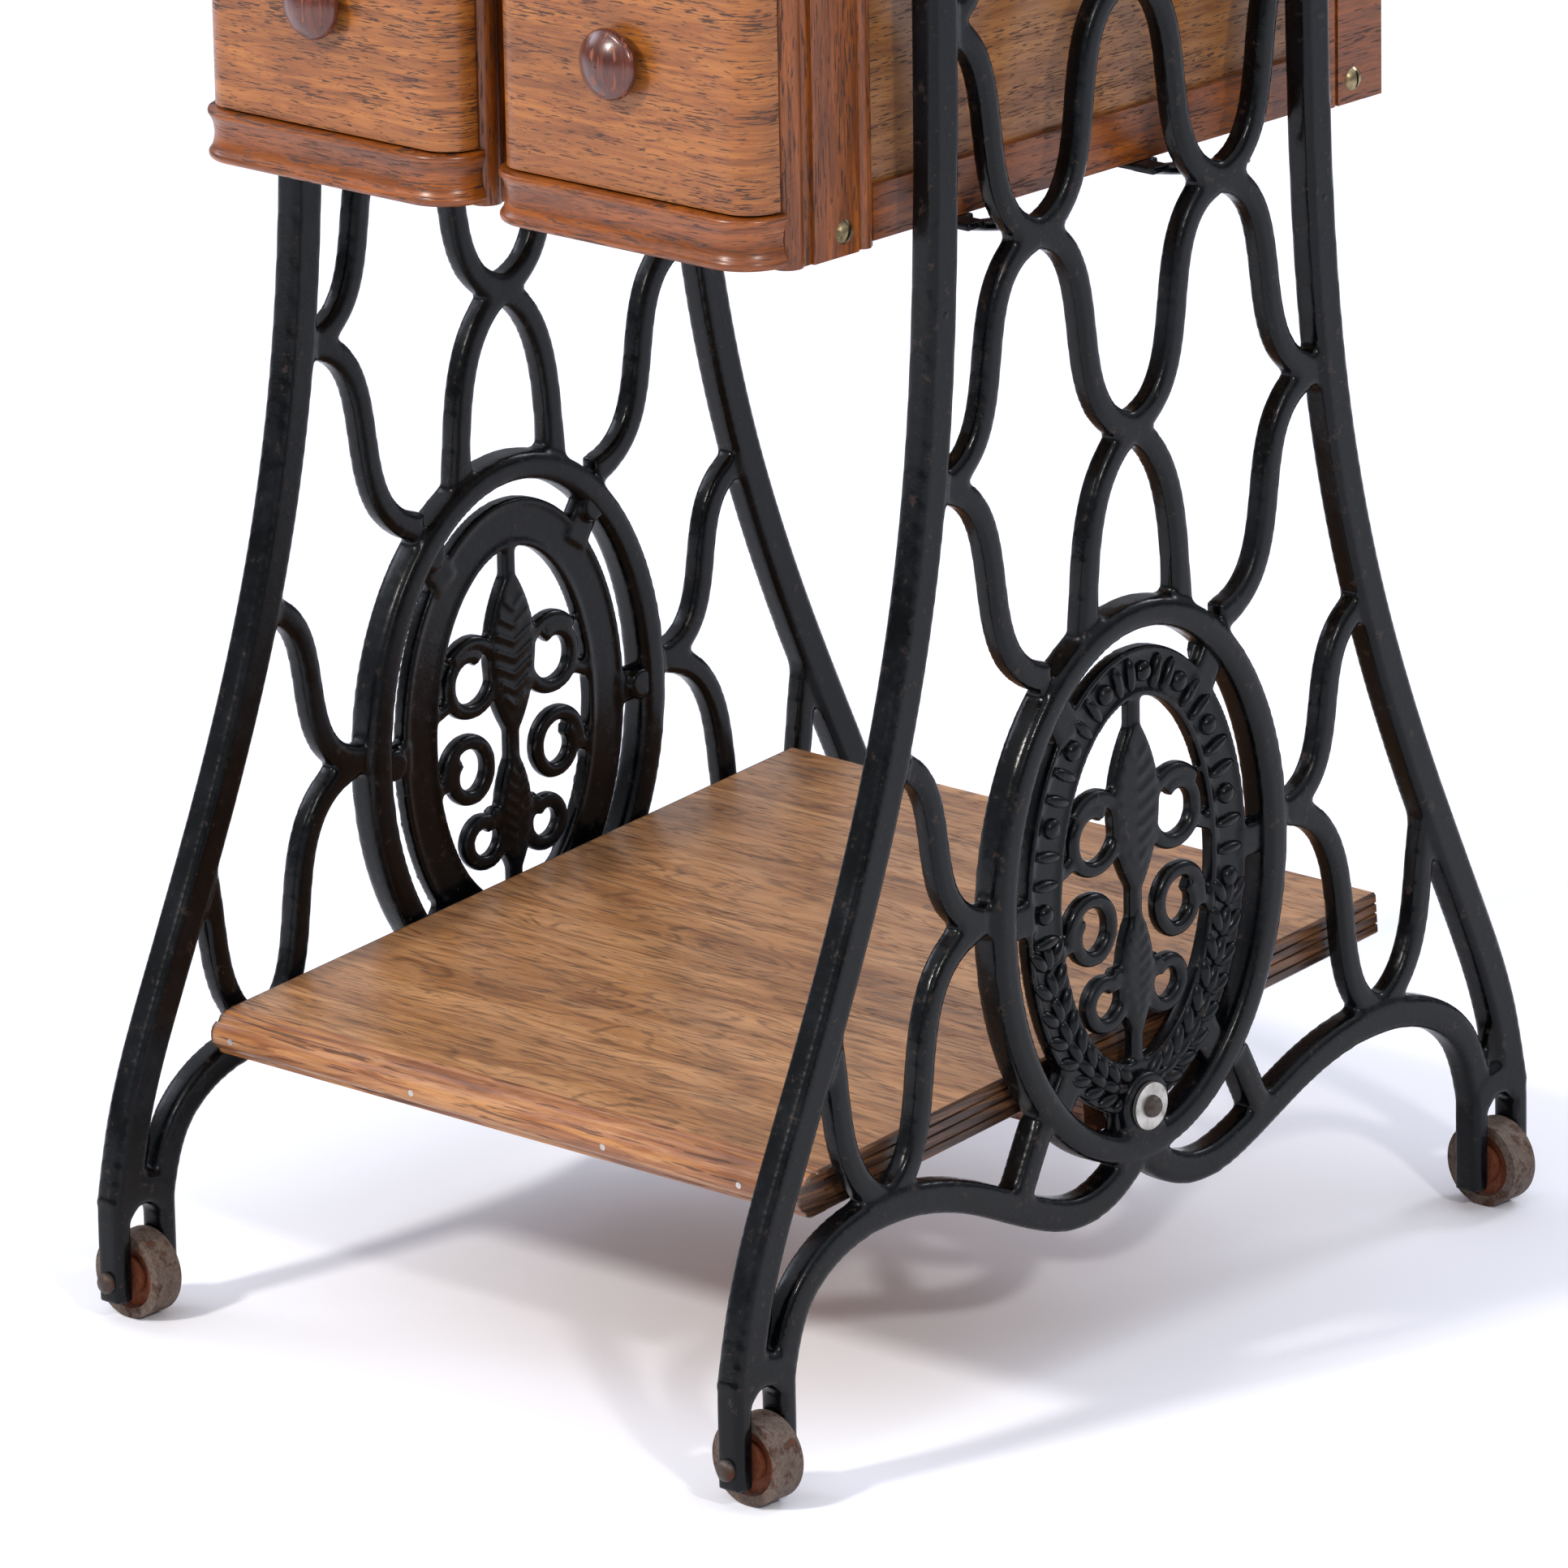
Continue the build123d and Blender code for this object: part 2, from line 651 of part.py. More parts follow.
bank("left_bank", -bank_gap / 2 - bank_width, -bank_gap / 2)
bank("right_bank", bank_gap / 2, bank_gap / 2 + bank_width)

screw_ys = (bank_front_y + front_stile_width - brass_screw_inset, bank_back_y - brass_screw_inset)
outer_x = bank_gap / 2 + bank_width
screws = [brass_screw(side * outer_x, side, y) for side in (-1, 1) for y in screw_ys]
screws += [brass_screw(-side * bank_gap / 2, side, y) for side in (-1, 1) for y in screw_ys]
export(Compound(children=screws), "bank_screws")


def bearer(y0):
    """A flat strap under both banks whose ends turn back as drooping leaves."""
    top = bank_base_z
    half = iron_x - leg_depth / 2 - leaf_leg_gap - leaf_width
    strap = block(-half, half, y0, y0 + bearer_width, top - bearer_thickness, top)
    x0 = half
    x1 = x0 + leaf_width
    outline = make_face(
        Polyline((x0, 0), (x0, leaf_length * 0.6))
        + ThreePointArc((x0, leaf_length * 0.6), ((x0 + x1) / 2, leaf_length), (x1, leaf_length * 0.6))
        + Polyline((x1, leaf_length * 0.6), (x1, 0), (x0, 0)))
    slope = Rot(-leaf_drop, 0, 0)
    leaf = Pos(0, y0 + bearer_width / 2, top) * slope * extrude(outline, amount=-leaf_thickness)
    leaf += block(x0, x1, y0, y0 + bearer_width * 0.6, top - bearer_thickness, top)
    shape = strap
    for piece in both_sides(leaf):
        shape += piece
    return shape


export(bearer(bearer_front_y), "bearer_front")
export(bearer(bearer_back_y), "bearer_back")

# ---------------------------------------------------------------- table top

table_top_z = iron_height + table_thickness
table = block(-table_length / 2, table_length / 2, -table_depth / 2, table_depth / 2,
              iron_height, table_top_z)
table = fillet(table.edges().filter_by(Axis.Z), 3 * table_edge_r)
table = fillet(table.faces().sort_by(Axis.Z)[-1].edges(), table_edge_r)
table_screws = []
for x_side in (-1, 1):
    for y in (-table_screw_y, table_screw_y):
        for x in (-table_screw_x, table_screw_x):
            at_x = x_side * iron_x + x
            table -= rod_z(at_x, y, iron_height - 1, iron_height + table_screw_bite + 1, table_screw_r)
            under = iron_height - flange_thickness
            screw = rod_z(at_x, y, under, iron_height + table_screw_bite, table_screw_r)
            head = rod_z(at_x, y, under - table_screw_head_h, under, table_screw_head_r)
            table_screws.append(screw + head)
export(table, "table_top")
export(Compound(children=table_screws), "table_screws")

# ---------------------------------------------------------------- machine head

bed_z = table_top_z + plinth_height + bed_thickness
arm_face_y = -arm_depth / 2
head_x0 = -bed_length / 2 + bay_margin
pillar_x1 = bed_length / 2 - 22


def head_bar_bores():
    """Bores of the needle bar and the presser bar, from the head's underside up."""
    low = bed_z + head_under - 1
    high = bed_z + arm_height - 25
    needle = rod_z(needle_x, 0, low, high, needle_bar_r + running_fit)
    presser = rod_z(needle_x, presser_back, low, high, presser_bar_r + running_fit)
    return needle, presser


def machine_casting():
    """Bed, pillar, arm and needle head, cast in one piece."""
    bed = Pos(0, 0, bed_z - bed_thickness / 2) * Box(bed_length, bed_depth, bed_thickness)
    bed = fillet(bed.edges().filter_by(Axis.Z), 12)
    bed = fillet(bed.faces().sort_by(Axis.Z)[-1].edges(), 3)
    top = arm_height
    outline = make_face(Polyline(
        (pillar_x1 + 10, -2), (pillar_x1 + 2, 34), (pillar_x1, top - 28), (pillar_x1 - 20, top),
        (head_x0 + 30, top - 8), (head_x0 + 8, top - 16), (head_x0, top - 34), (head_x0, head_under),
        (head_x0 + 36, head_under), (head_x0 + 42, top - 62), (pillar_x1 - 78, top - 52),
        (pillar_x1 - 48, top - 66), (pillar_x1 - 40, top - 92), (pillar_x1 - 42, 34),
        (pillar_x1 - 54, -2), (pillar_x1 + 10, -2)))
    outline = fillet(outline.vertices(), 5)
    arm = extrude(Plane.XZ * outline, amount=arm_depth / 2, both=True)
    arm = Pos(0, 0, bed_z) * fillet(arm.edges().group_by(Axis.Y)[0] + arm.edges().group_by(Axis.Y)[-1], 4)
    collar = rod_x(pillar_x1 - 4, pillar_x1 + 3, 0, bed_z + shaft_height, shaft_r + 9)
    casting = bed + arm + collar
    casting -= rod_x(pillar_x1 - shaft_reach - 1, pillar_x1 + 4, 0, bed_z + shaft_height,
                     shaft_r + running_fit)
    for bore in head_bar_bores():
        casting -= bore
    casting -= rod_z(needle_x, 0, bed_z - bed_thickness - 1, bed_z + 1, needle_hole_r)
    casting -= slide_plate_block(0)
    casting -= rod_y(needle_x + lever_pivot_x, arm_face_y - 1, arm_face_y + lever_pin_seat + 1,
                     bed_z + top - lever_pivot_drop, lever_pin_r + running_fit)
    for x in spool_pin_xs:
        casting -= rod_z(x, 0, bed_z + top - spool_pin_seat_depth, bed_z + top + 5, spool_pin_seat_r)
    return casting


def slide_plate_block(gap):
    """The shallow bay at the needle end of the bed, or the plate that lies in it."""
    x0 = -bed_length / 2 + bay_margin + gap
    x1 = x0 + slide_plate_length - 2 * gap
    half = slide_plate_half_width - gap
    return block(x0, x1, -half, half, bed_z - plate_thickness, bed_z)


def hand_wheel():
    """Spoked wheel, hub, stop knob and the shaft end that turns in the pillar."""
    x0 = pillar_x1 + 4
    x1 = x0 + hand_wheel_width
    z = bed_z + shaft_height
    rim = rod_x(x0, x1, 0, z, hand_wheel_r) - rod_x(x0, x1, 0, z, hand_wheel_r - hand_wheel_rim)
    rim = fillet(rim.edges(), 2.5)
    hub_x1 = x1 + hub_lip
    hub = rod_x(x0, hub_x1, 0, z, hand_wheel_hub_r)
    knob_end = rod_x(hub_x1, hub_x1 + stop_knob_length, 0, z, hand_wheel_hub_r - 3)
    shaft = rod_x(pillar_x1 - shaft_reach, x0, 0, z, shaft_r)
    shape = rim + hub + knob_end + shaft
    spokes = 5
    for i in range(spokes):
        spoke = block(x0 + 4, x1 - 4, -spoke_width / 2, spoke_width / 2, hand_wheel_hub_r - 3,
                      hand_wheel_r - hand_wheel_rim + 1)
        shape += Pos(0, 0, z) * Rot(360 / spokes * i, 0, 0) * spoke
    return shape


def needle_bar():
    """Bar, needle clamp and needle, at the top of the stroke."""
    shank_z = bed_z + needle_tip + needle_shank
    bar = rod_z(needle_x, 0, shank_z, bed_z + arm_height - 55, needle_bar_r)
    clamp_z = shank_z - 2
    clamp = rod_z(needle_x, 0, clamp_z, clamp_z + clamp_height, needle_bar_r + clamp_wall)
    screw = rod_x(needle_x, needle_x + 10, 0, shank_z + 3, clamp_screw_r)
    needle = rod_z(needle_x, 0, bed_z + needle_tip, shank_z, needle_r)
    return bar + clamp + screw + needle


def presser_bar():
    """Bar with a two-toed foot resting just above the plate."""
    y = presser_back
    foot_z = bed_z + presser_foot_gap
    bar = rod_z(needle_x, y, foot_z + 16, bed_z + arm_height - 45, presser_bar_r)
    shank = block(needle_x - 4, needle_x + 4, y - 4, y + 4, foot_z + 2, foot_z + 18)
    sole = block(needle_x - 9, needle_x + 9, -13, y + 4, foot_z, foot_z + presser_sole_height)
    sole -= block(needle_x - presser_slot_half, needle_x + presser_slot_half, -14, 4, foot_z - 1,
                  foot_z + presser_sole_height + 1)
    return bar + shank + sole


def take_up_lever():
    """Flat lever on a pin in the arm, with the thread's eye at its end."""
    z = bed_z + arm_height - lever_pivot_drop
    y1 = arm_face_y - body_gap
    y0 = y1 - lever_thickness
    x = needle_x + lever_pivot_x
    line = Line((x, z), (needle_x, z + lever_rise))
    arm = Pos(0, y1, 0) * extrude(Plane.XZ * stroke(line, lever_width), amount=lever_thickness)
    eye = rod_y(needle_x, y0 - 1, y1 + 1, z + lever_rise, lever_eye_r)
    return arm + rod_y(x, y0, arm_face_y + lever_pin_seat, z, lever_pin_r) - eye


def tension_dial():
    """Post, pressing discs and round nut of the thread tension."""
    x = needle_x + dial_x
    z = bed_z + head_under + dial_rise
    disc_y = arm_face_y - dial_disc_thickness
    nut_y = arm_face_y - dial_post_length + 2
    post = rod_y(x, arm_face_y - dial_post_length, arm_face_y, z, dial_post_r)
    discs = rod_y(x, disc_y - dial_disc_thickness, disc_y, z, dial_r)
    nut = rod_y(x, nut_y, nut_y + dial_nut_length, z, dial_nut_r)
    return post + discs + nut


spool_pin_xs = (-10.0, 45.0)
plinth = Pos(0, 0, table_top_z + plinth_height / 2) * Box(plinth_length, plinth_depth, plinth_height)
plinth = fillet(plinth.edges().filter_by(Axis.Z), 10)
plinth = fillet(plinth.faces().sort_by(Axis.Z)[-1].edges(), 5)
export(plinth, "machine_base")
export(machine_casting(), "machine_casting")
plate = slide_plate_block(plate_fit) - rod_z(needle_x, 0, bed_z - 3, bed_z + 1, needle_hole_r)
export(plate, "slide_plate")
face_y = arm_depth / 2 - 6
face_plate = Pos(head_x0 - face_plate_thickness / 2, 0, bed_z + (head_under + arm_height - 38) / 2) * Box(
    face_plate_thickness, 2 * face_y, arm_height - head_under - 46)
export(fillet(face_plate.edges().filter_by(Axis.X), 5), "face_plate")
export(hand_wheel(), "hand_wheel")
export(needle_bar(), "needle_bar")
export(presser_bar(), "presser_bar")
export(take_up_lever(), "take_up_lever")
export(tension_dial(), "tension_dial")
arm_top_z = bed_z + arm_height
spools = []
for x in spool_pin_xs:
    seat = rod_z(x, 0, arm_top_z - spool_pin_seat_depth, arm_top_z + spool_pin_lift, spool_pin_seat_r)
    spools.append(seat + rod_z(x, 0, arm_top_z + spool_pin_lift, arm_top_z + spool_pin_height, spool_pin_r))
export(Compound(children=spools), "spool_pins")
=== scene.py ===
"""Castings, joinery details, finishes, light and camera of a treadle sewing machine.

Metres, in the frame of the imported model: +X from the left iron to the right one, the
drawer fronts face -Y, +Z is up and the floor is at Z = 0."""
import logging
import math
import random
from dataclasses import dataclass, field
from enum import Enum
from typing import Callable, Iterable, Optional, Sequence

import bmesh
import bpy
from mathutils import Matrix, Vector


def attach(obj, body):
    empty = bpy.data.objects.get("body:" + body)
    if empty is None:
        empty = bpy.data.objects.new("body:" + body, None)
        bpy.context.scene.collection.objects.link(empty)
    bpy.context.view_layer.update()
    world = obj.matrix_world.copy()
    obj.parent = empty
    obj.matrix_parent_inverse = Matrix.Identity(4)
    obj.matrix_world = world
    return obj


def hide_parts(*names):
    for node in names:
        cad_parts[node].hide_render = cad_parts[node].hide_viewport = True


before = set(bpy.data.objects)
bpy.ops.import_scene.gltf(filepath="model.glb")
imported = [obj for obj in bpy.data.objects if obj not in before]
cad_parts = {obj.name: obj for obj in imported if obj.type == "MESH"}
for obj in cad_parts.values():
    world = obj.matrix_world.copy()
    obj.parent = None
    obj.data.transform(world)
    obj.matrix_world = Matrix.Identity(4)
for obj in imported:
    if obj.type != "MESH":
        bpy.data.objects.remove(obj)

LOG = logging.getLogger("treadle_machine")
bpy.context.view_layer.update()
MM = 0.001
Point2 = tuple[float, float]
Node = bpy.types.Node
Socket = bpy.types.NodeSocket


# ---------------------------------------------------------------- node helpers

def srgb(code: str) -> tuple[float, float, float, float]:
    """Turn an sRGB hex colour into linear RGBA.

    Args:
        code: a colour such as "#a0703c".

    Returns:
        Linear red, green, blue and an alpha of one.
    """
    parts = [int(code[i:i + 2], 16) / 255 for i in (1, 3, 5)]
    linear = [c / 12.92 if c <= 0.04045 else ((c + 0.055) / 1.055) ** 2.4 for c in parts]
    return (linear[0], linear[1], linear[2], 1.0)


def add(tree: bpy.types.NodeTree, kind: str, settings: Optional[dict] = None, **inputs: object) -> Node:
    """Add a node with its settings and links.

    Args:
        tree: the node tree.
        kind: the node's type name.
        settings: attributes to set on the node.
        inputs: socket name (spaces as underscores, or iN for the Nth input) to a value or a socket.

    Returns:
        The new node.
    """
    made = tree.nodes.new(kind)
    for key, value in (settings or {}).items():
        setattr(made, key, value)
    for key, value in inputs.items():
        if key[0] == "i" and key[1:].isdigit():
            socket = made.inputs[int(key[1:])]
        else:
            socket = made.inputs[key.replace("_", " ")]
        if isinstance(value, bpy.types.NodeSocket):
            tree.links.new(value, socket)
        else:
            socket.default_value = value
    return made


def ramp(tree: bpy.types.NodeTree, factor: Socket, stops: Sequence[tuple[float, object]]) -> Node:
    """A colour ramp over given stops.

    Args:
        tree: the node tree.
        factor: what drives the ramp.
        stops: pairs of place and either a hex colour or a grey level.

    Returns:
        The ramp node.
    """
    made = add(tree, "ShaderNodeValToRGB", Fac=factor)
    elements = made.color_ramp.elements
    while len(elements) < len(stops):
        elements.new(0.5)
    for element, (place, value) in zip(elements, stops):
        element.position = place
        element.color = srgb(value) if isinstance(value, str) else (value, value, value, 1)
    return made


def mix(tree: bpy.types.NodeTree, factor: object, first: object, second: object,
        blend: str = "MIX") -> Socket:
    """Blend two colours.

    Args:
        tree: the node tree.
        factor: a number or a socket from 0 to 1.
        first: a colour or socket.
        second: a colour or socket laid over the first.
        blend: the blend mode.

    Returns:
        The blended colour's socket.
    """
    made = add(tree, "ShaderNodeMix", {"data_type": "RGBA", "blend_type": blend, "clamp_factor": True},
               i0=factor, i6=first, i7=second)
    return made.outputs[2]


def object_space(tree: bpy.types.NodeTree, scale: Sequence[float], turn: Sequence[float] = (0, 0, 0),
                 shift: Sequence[float] = (0, 0, 0)) -> Socket:
    """Object coordinates, scaled so that a pattern has a real size.

    Args:
        tree: the node tree.
        scale: repeats per metre along X, Y and Z.
        turn: turns in radians.
        shift: an offset in pattern units, so that no two pieces share one pattern.

    Returns:
        The vector socket.
    """
    place = add(tree, "ShaderNodeTexCoord")
    made = add(tree, "ShaderNodeMapping", Vector=place.outputs["Object"], Scale=tuple(scale),
               Rotation=tuple(turn), Location=tuple(shift))
    return made.outputs[0]


def noise(tree: bpy.types.NodeTree, vector: Socket, scale: float = 1.0, detail: float = 3.0,
          roughness: float = 0.5, distortion: float = 0.0) -> Socket:
    """Fractal noise.

    Args:
        tree: the node tree.
        vector: where it is read.
        scale: its frequency over the vector.
        detail: octaves.
        roughness: strength of the finer octaves.
        distortion: how much it is warped.

    Returns:
        The factor socket.
    """
    made = add(tree, "ShaderNodeTexNoise", Vector=vector, Scale=scale, Detail=detail,
               Roughness=roughness, Distortion=distortion)
    return made.outputs[0]


def step(tree: bpy.types.NodeTree, value: Socket, low: float, high: float, out_low: float = 0.0,
         out_high: float = 1.0) -> Socket:
    """A smooth step from one level to another.

    Args:
        tree: the node tree.
        value: what is remapped.
        low: where the step starts.
        high: where the step ends.
        out_low: the level before it.
        out_high: the level after it.

    Returns:
        The remapped value's socket.
    """
    made = add(tree, "ShaderNodeMapRange", {"interpolation_type": "SMOOTHSTEP"}, i0=value, i1=low,
               i2=high, i3=out_low, i4=out_high)
    return made.outputs[0]


def sums(tree: bpy.types.NodeTree, operation: str, first: object, second: object) -> Socket:
    """One sum on two values.

    Args:
        tree: the node tree.
        operation: the Math node's operation.
        first: a number or socket.
        second: a number or socket.

    Returns:
        The result's socket.
    """
    return add(tree, "ShaderNodeMath", {"operation": operation}, i0=first, i1=second).outputs[0]


@dataclass(frozen=True)
class Surface:
    """The plain numbers of a finish, set straight on the shader's sockets."""
    metallic: float = 0.0
    specular: float = 0.5
    coat: float = 0.0
    coat_roughness: float = 0.1
    ior: float = 1.5


def new_material(name: str, surface: Surface) -> tuple[bpy.types.Material, bpy.types.NodeTree, Node]:
    """Start a material with one principled shader.

    Args:
        name: what the finish is.
        surface: its plain numbers.

    Returns:
        The material, its tree and its shader.
    """
    material = bpy.data.materials.new(name)
    material.use_nodes = True
    tree = material.node_tree
    shader = tree.nodes["Principled BSDF"]
    shader.inputs["Metallic"].default_value = surface.metallic
    shader.inputs["Specular IOR Level"].default_value = surface.specular
    shader.inputs["Coat Weight"].default_value = surface.coat
    shader.inputs["Coat Roughness"].default_value = surface.coat_roughness
    shader.inputs["IOR"].default_value = surface.ior
    return material, tree, shader


def bump(tree: bpy.types.NodeTree, height: Socket, depth_mm: float, strength: float = 1.0,
         under: Optional[Socket] = None) -> Socket:
    """A bump of a real depth.

    Args:
        tree: the node tree.
        height: the height pattern, 0 to 1.
        depth_mm: its depth in millimetres.
        strength: how much of it shows.
        under: another bump to lay it over.

    Returns:
        The normal's socket.
    """
    inputs = {"Height": height, "Distance": depth_mm * MM, "Strength": strength}
    if under is not None:
        inputs["Normal"] = under
    return add(tree, "ShaderNodeBump", **inputs).outputs[0]


# ---------------------------------------------------------------- finishes

class Grain(Enum):
    """Which way the grain of a board runs."""
    ALONG_X = (1, 0, 0)
    ALONG_Y = (0, 1, 0)
    ALONG_Z = (0, 0, 1)
    LEVEL = (1, 1, 0)

    def stretched(self, along: float, across: float) -> tuple[float, ...]:
        """Pattern repeats per metre, few along the grain and many across it."""
        return tuple(along if axis else across for axis in self.value)


@dataclass(frozen=True)
class Oak:
    """Oak board under an old shellac or varnish: growth bands, rays and open dark pores.

    The bands give the broad light and dark streaks, the pores the short dark dashes, and
    the film over them gives a soft gloss that the pores break."""
    name: str
    light: str
    middle: str
    dark: str
    pore: str
    grain: Grain = Grain.ALONG_X
    band_mm: float = 16.0
    pore_mm: float = 1.1
    pore_length_mm: float = 16.0
    pore_strength: float = 0.75
    pore_cover: float = 0.5
    figure: float = 1.2
    flow: float = 0.0
    flow_mm: float = 22.0
    gloss: float = 0.34
    coat: float = 0.25
    grime: float = 0.0
    end_grain_x: Optional[float] = None
    seed: float = 0.0

    def build(self) -> bpy.types.Material:
        """Build the material."""
        material, tree, shader = new_material(self.name, Surface(coat=self.coat, coat_roughness=0.22))
        drift = (self.seed * 7.31, self.seed * 3.17, self.seed * 5.73)
        across = 1000 / self.band_mm
        broad = object_space(tree, self.grain.stretched(across * 0.09, across), shift=drift)
        warp = noise(tree, broad, 0.8, 3, 0.5, self.figure)
        bands = noise(tree, broad, 2.2, 4, 0.62, self.figure * 0.7)
        tone = ramp(tree, bands, [(0.25, self.dark), (0.45, self.middle), (0.62, self.light),
                                  (0.8, self.middle)]).outputs[0]
        tone = mix(tree, step(tree, warp, 0.35, 0.75, 0.0, 0.45), tone, srgb(self.dark), "MIX")
        fine = object_space(tree, self.grain.stretched(1000 / self.pore_length_mm, 1000 / self.pore_mm),
                            shift=drift)
        cells = noise(tree, fine, 1.0, 2, 0.55, 0.35)
        patches = object_space(tree, self.grain.stretched(12, 120), shift=drift)
        clump = noise(tree, patches, 1.0, 3, 0.6, 0.6)
        cut = sums(tree, "ADD", cells, step(tree, clump, 0.35, 0.7, -0.05, 0.07))
        low = 0.66 - 0.12 * self.pore_cover
        pores = step(tree, cut, low, low + 0.06)
        fibre = noise(tree, object_space(tree, self.grain.stretched(30, 2400), shift=drift), 1.0, 2, 0.6)
        tone = mix(tree, step(tree, fibre, 0.3, 0.75, 0.0, 0.28), tone, srgb(self.dark), "MULTIPLY")
        if self.flow:
            tone = self.flowing_figure(tree, tone, drift)
        tone = mix(tree, sums(tree, "MULTIPLY", pores, self.pore_strength), tone, srgb(self.pore))
        cloud = noise(tree, object_space(tree, (9, 9, 9), shift=drift), 1.0, 4, 0.6)
        tone = mix(tree, step(tree, cloud, 0.48, 0.75, 0.0, 0.16 + self.grime), tone, srgb(self.dark))
        if self.end_grain_x is not None:
            tone = self.dark_ends(tree, tone)
        tree.links.new(tone, shader.inputs["Base Color"])
        rough = step(tree, sums(tree, "ADD", pores, cloud), 0.3, 1.6, self.gloss - 0.06, self.gloss + 0.28)
        tree.links.new(rough, shader.inputs["Roughness"])
        height = sums(tree, "SUBTRACT", step(tree, fibre, 0.2, 0.8, 0.0, 0.25), pores)
        tree.links.new(bump(tree, height, 0.12, 0.55), shader.inputs["Normal"])
        return material

    def flowing_figure(self, tree: bpy.types.NodeTree, tone: Socket, drift: Sequence[float]) -> Socket:
        """The wandering dark early-wood streaks of a flat-sawn board.

        Args:
            tree: the node tree.
            tone: the colour so far.
            drift: the pattern's offset.

        Returns:
            The colour's socket.
        """
        per_metre = 1000 / self.flow_mm
        place = object_space(tree, self.grain.stretched(per_metre * 0.16, per_metre), shift=drift)
        wander = add(tree, "ShaderNodeTexNoise", Vector=place, Scale=0.55, Detail=2.0, Roughness=0.5)
        bent = add(tree, "ShaderNodeVectorMath", {"operation": "MULTIPLY_ADD"}, i0=wander.outputs[1],
                   i1=(0.0, 3.4, 3.4), i2=place)
        lines = noise(tree, bent.outputs[0], 2.6, 1, 0.4, 0.2)
        ridge = sums(tree, "PINGPONG", sums(tree, "MULTIPLY", lines, 7.0), 0.5)
        dash = noise(tree, object_space(tree, self.grain.stretched(48, 620), shift=drift), 1.0, 2, 0.6)
        streak = sums(tree, "MULTIPLY", step(tree, ridge, 0.2, 0.46), step(tree, dash, 0.3, 0.66))
        return mix(tree, sums(tree, "MULTIPLY", streak, self.flow), tone, srgb(self.pore))

    def dark_ends(self, tree: bpy.types.NodeTree, tone: Socket) -> Socket:
        """Bare, dirty end grain on the two ends of a board.

        Args:
            tree: the node tree.
            tone: the colour of the rest.

        Returns:
            The colour's socket.
        """
        place = add(tree, "ShaderNodeTexCoord").outputs["Object"]
        parts = add(tree, "ShaderNodeSeparateXYZ", Vector=place)
        away = sums(tree, "ABSOLUTE", parts.outputs[0], 0.0)
        end = step(tree, away, self.end_grain_x - 0.0018, self.end_grain_x - 0.0010)
        layers = noise(tree, object_space(tree, (20, 14, 420), turn=(-0.082, 0, 0)), 1.0, 4, 0.62, 0.3)
        bare = ramp(tree, layers, [(0.3, "#20130b"), (0.47, "#3d2618"), (0.6, "#6b4629"), (0.8, "#2e1d13")])
        return mix(tree, end, tone, bare.outputs[0])


@dataclass(frozen=True)
class JapannedIron:
    """Grey iron from a sand mould under baked black japan.

    The sand gives a faint waviness and pits, and the enamel a bluish half gloss that has
    dulled unevenly and worn brown in places."""
    name: str = "japanned_cast_iron"
    black: str = "#040506"
    bloom: str = "#0b0e13"
    wear: str = "#41322a"
    gloss: float = 0.13
    specular: float = 0.2
    wear_amount: float = 0.4
    pit_mm: float = 0.30
    casting_mm: float = 5.0
    sand_mm: float = 1.3

    def build(self) -> bpy.types.Material:
        """Build the material."""
        material, tree, shader = new_material(self.name, Surface(specular=self.specular))
        cloud = noise(tree, object_space(tree, (24, 24, 24)), 1.0, 5, 0.62)
        speck = noise(tree, object_space(tree, (1000 / self.sand_mm,) * 3), 1.0, 3, 0.6)
        coarse = noise(tree, object_space(tree, (1000 / self.casting_mm,) * 3), 1.0, 4, 0.6)
        tone = mix(tree, step(tree, cloud, 0.4, 0.72, 0.0, 0.8), srgb(self.black), srgb(self.bloom))
        chips = step(tree, sums(tree, "ADD", coarse, sums(tree, "MULTIPLY", speck, 0.35)), 0.79, 0.88)
        tone = mix(tree, sums(tree, "MULTIPLY", chips, self.wear_amount), tone, srgb(self.wear))
        tree.links.new(tone, shader.inputs["Base Color"])
        rough = step(tree, sums(tree, "ADD", cloud, sums(tree, "MULTIPLY", coarse, 0.5)), 0.5, 1.0,
                     self.gloss, self.gloss + 0.24)
        tree.links.new(rough, shader.inputs["Roughness"])
        sand = bump(tree, coarse, self.pit_mm, 0.35)
        tree.links.new(bump(tree, speck, self.pit_mm * 0.35, 0.35, sand), shader.inputs["Normal"])
        return material


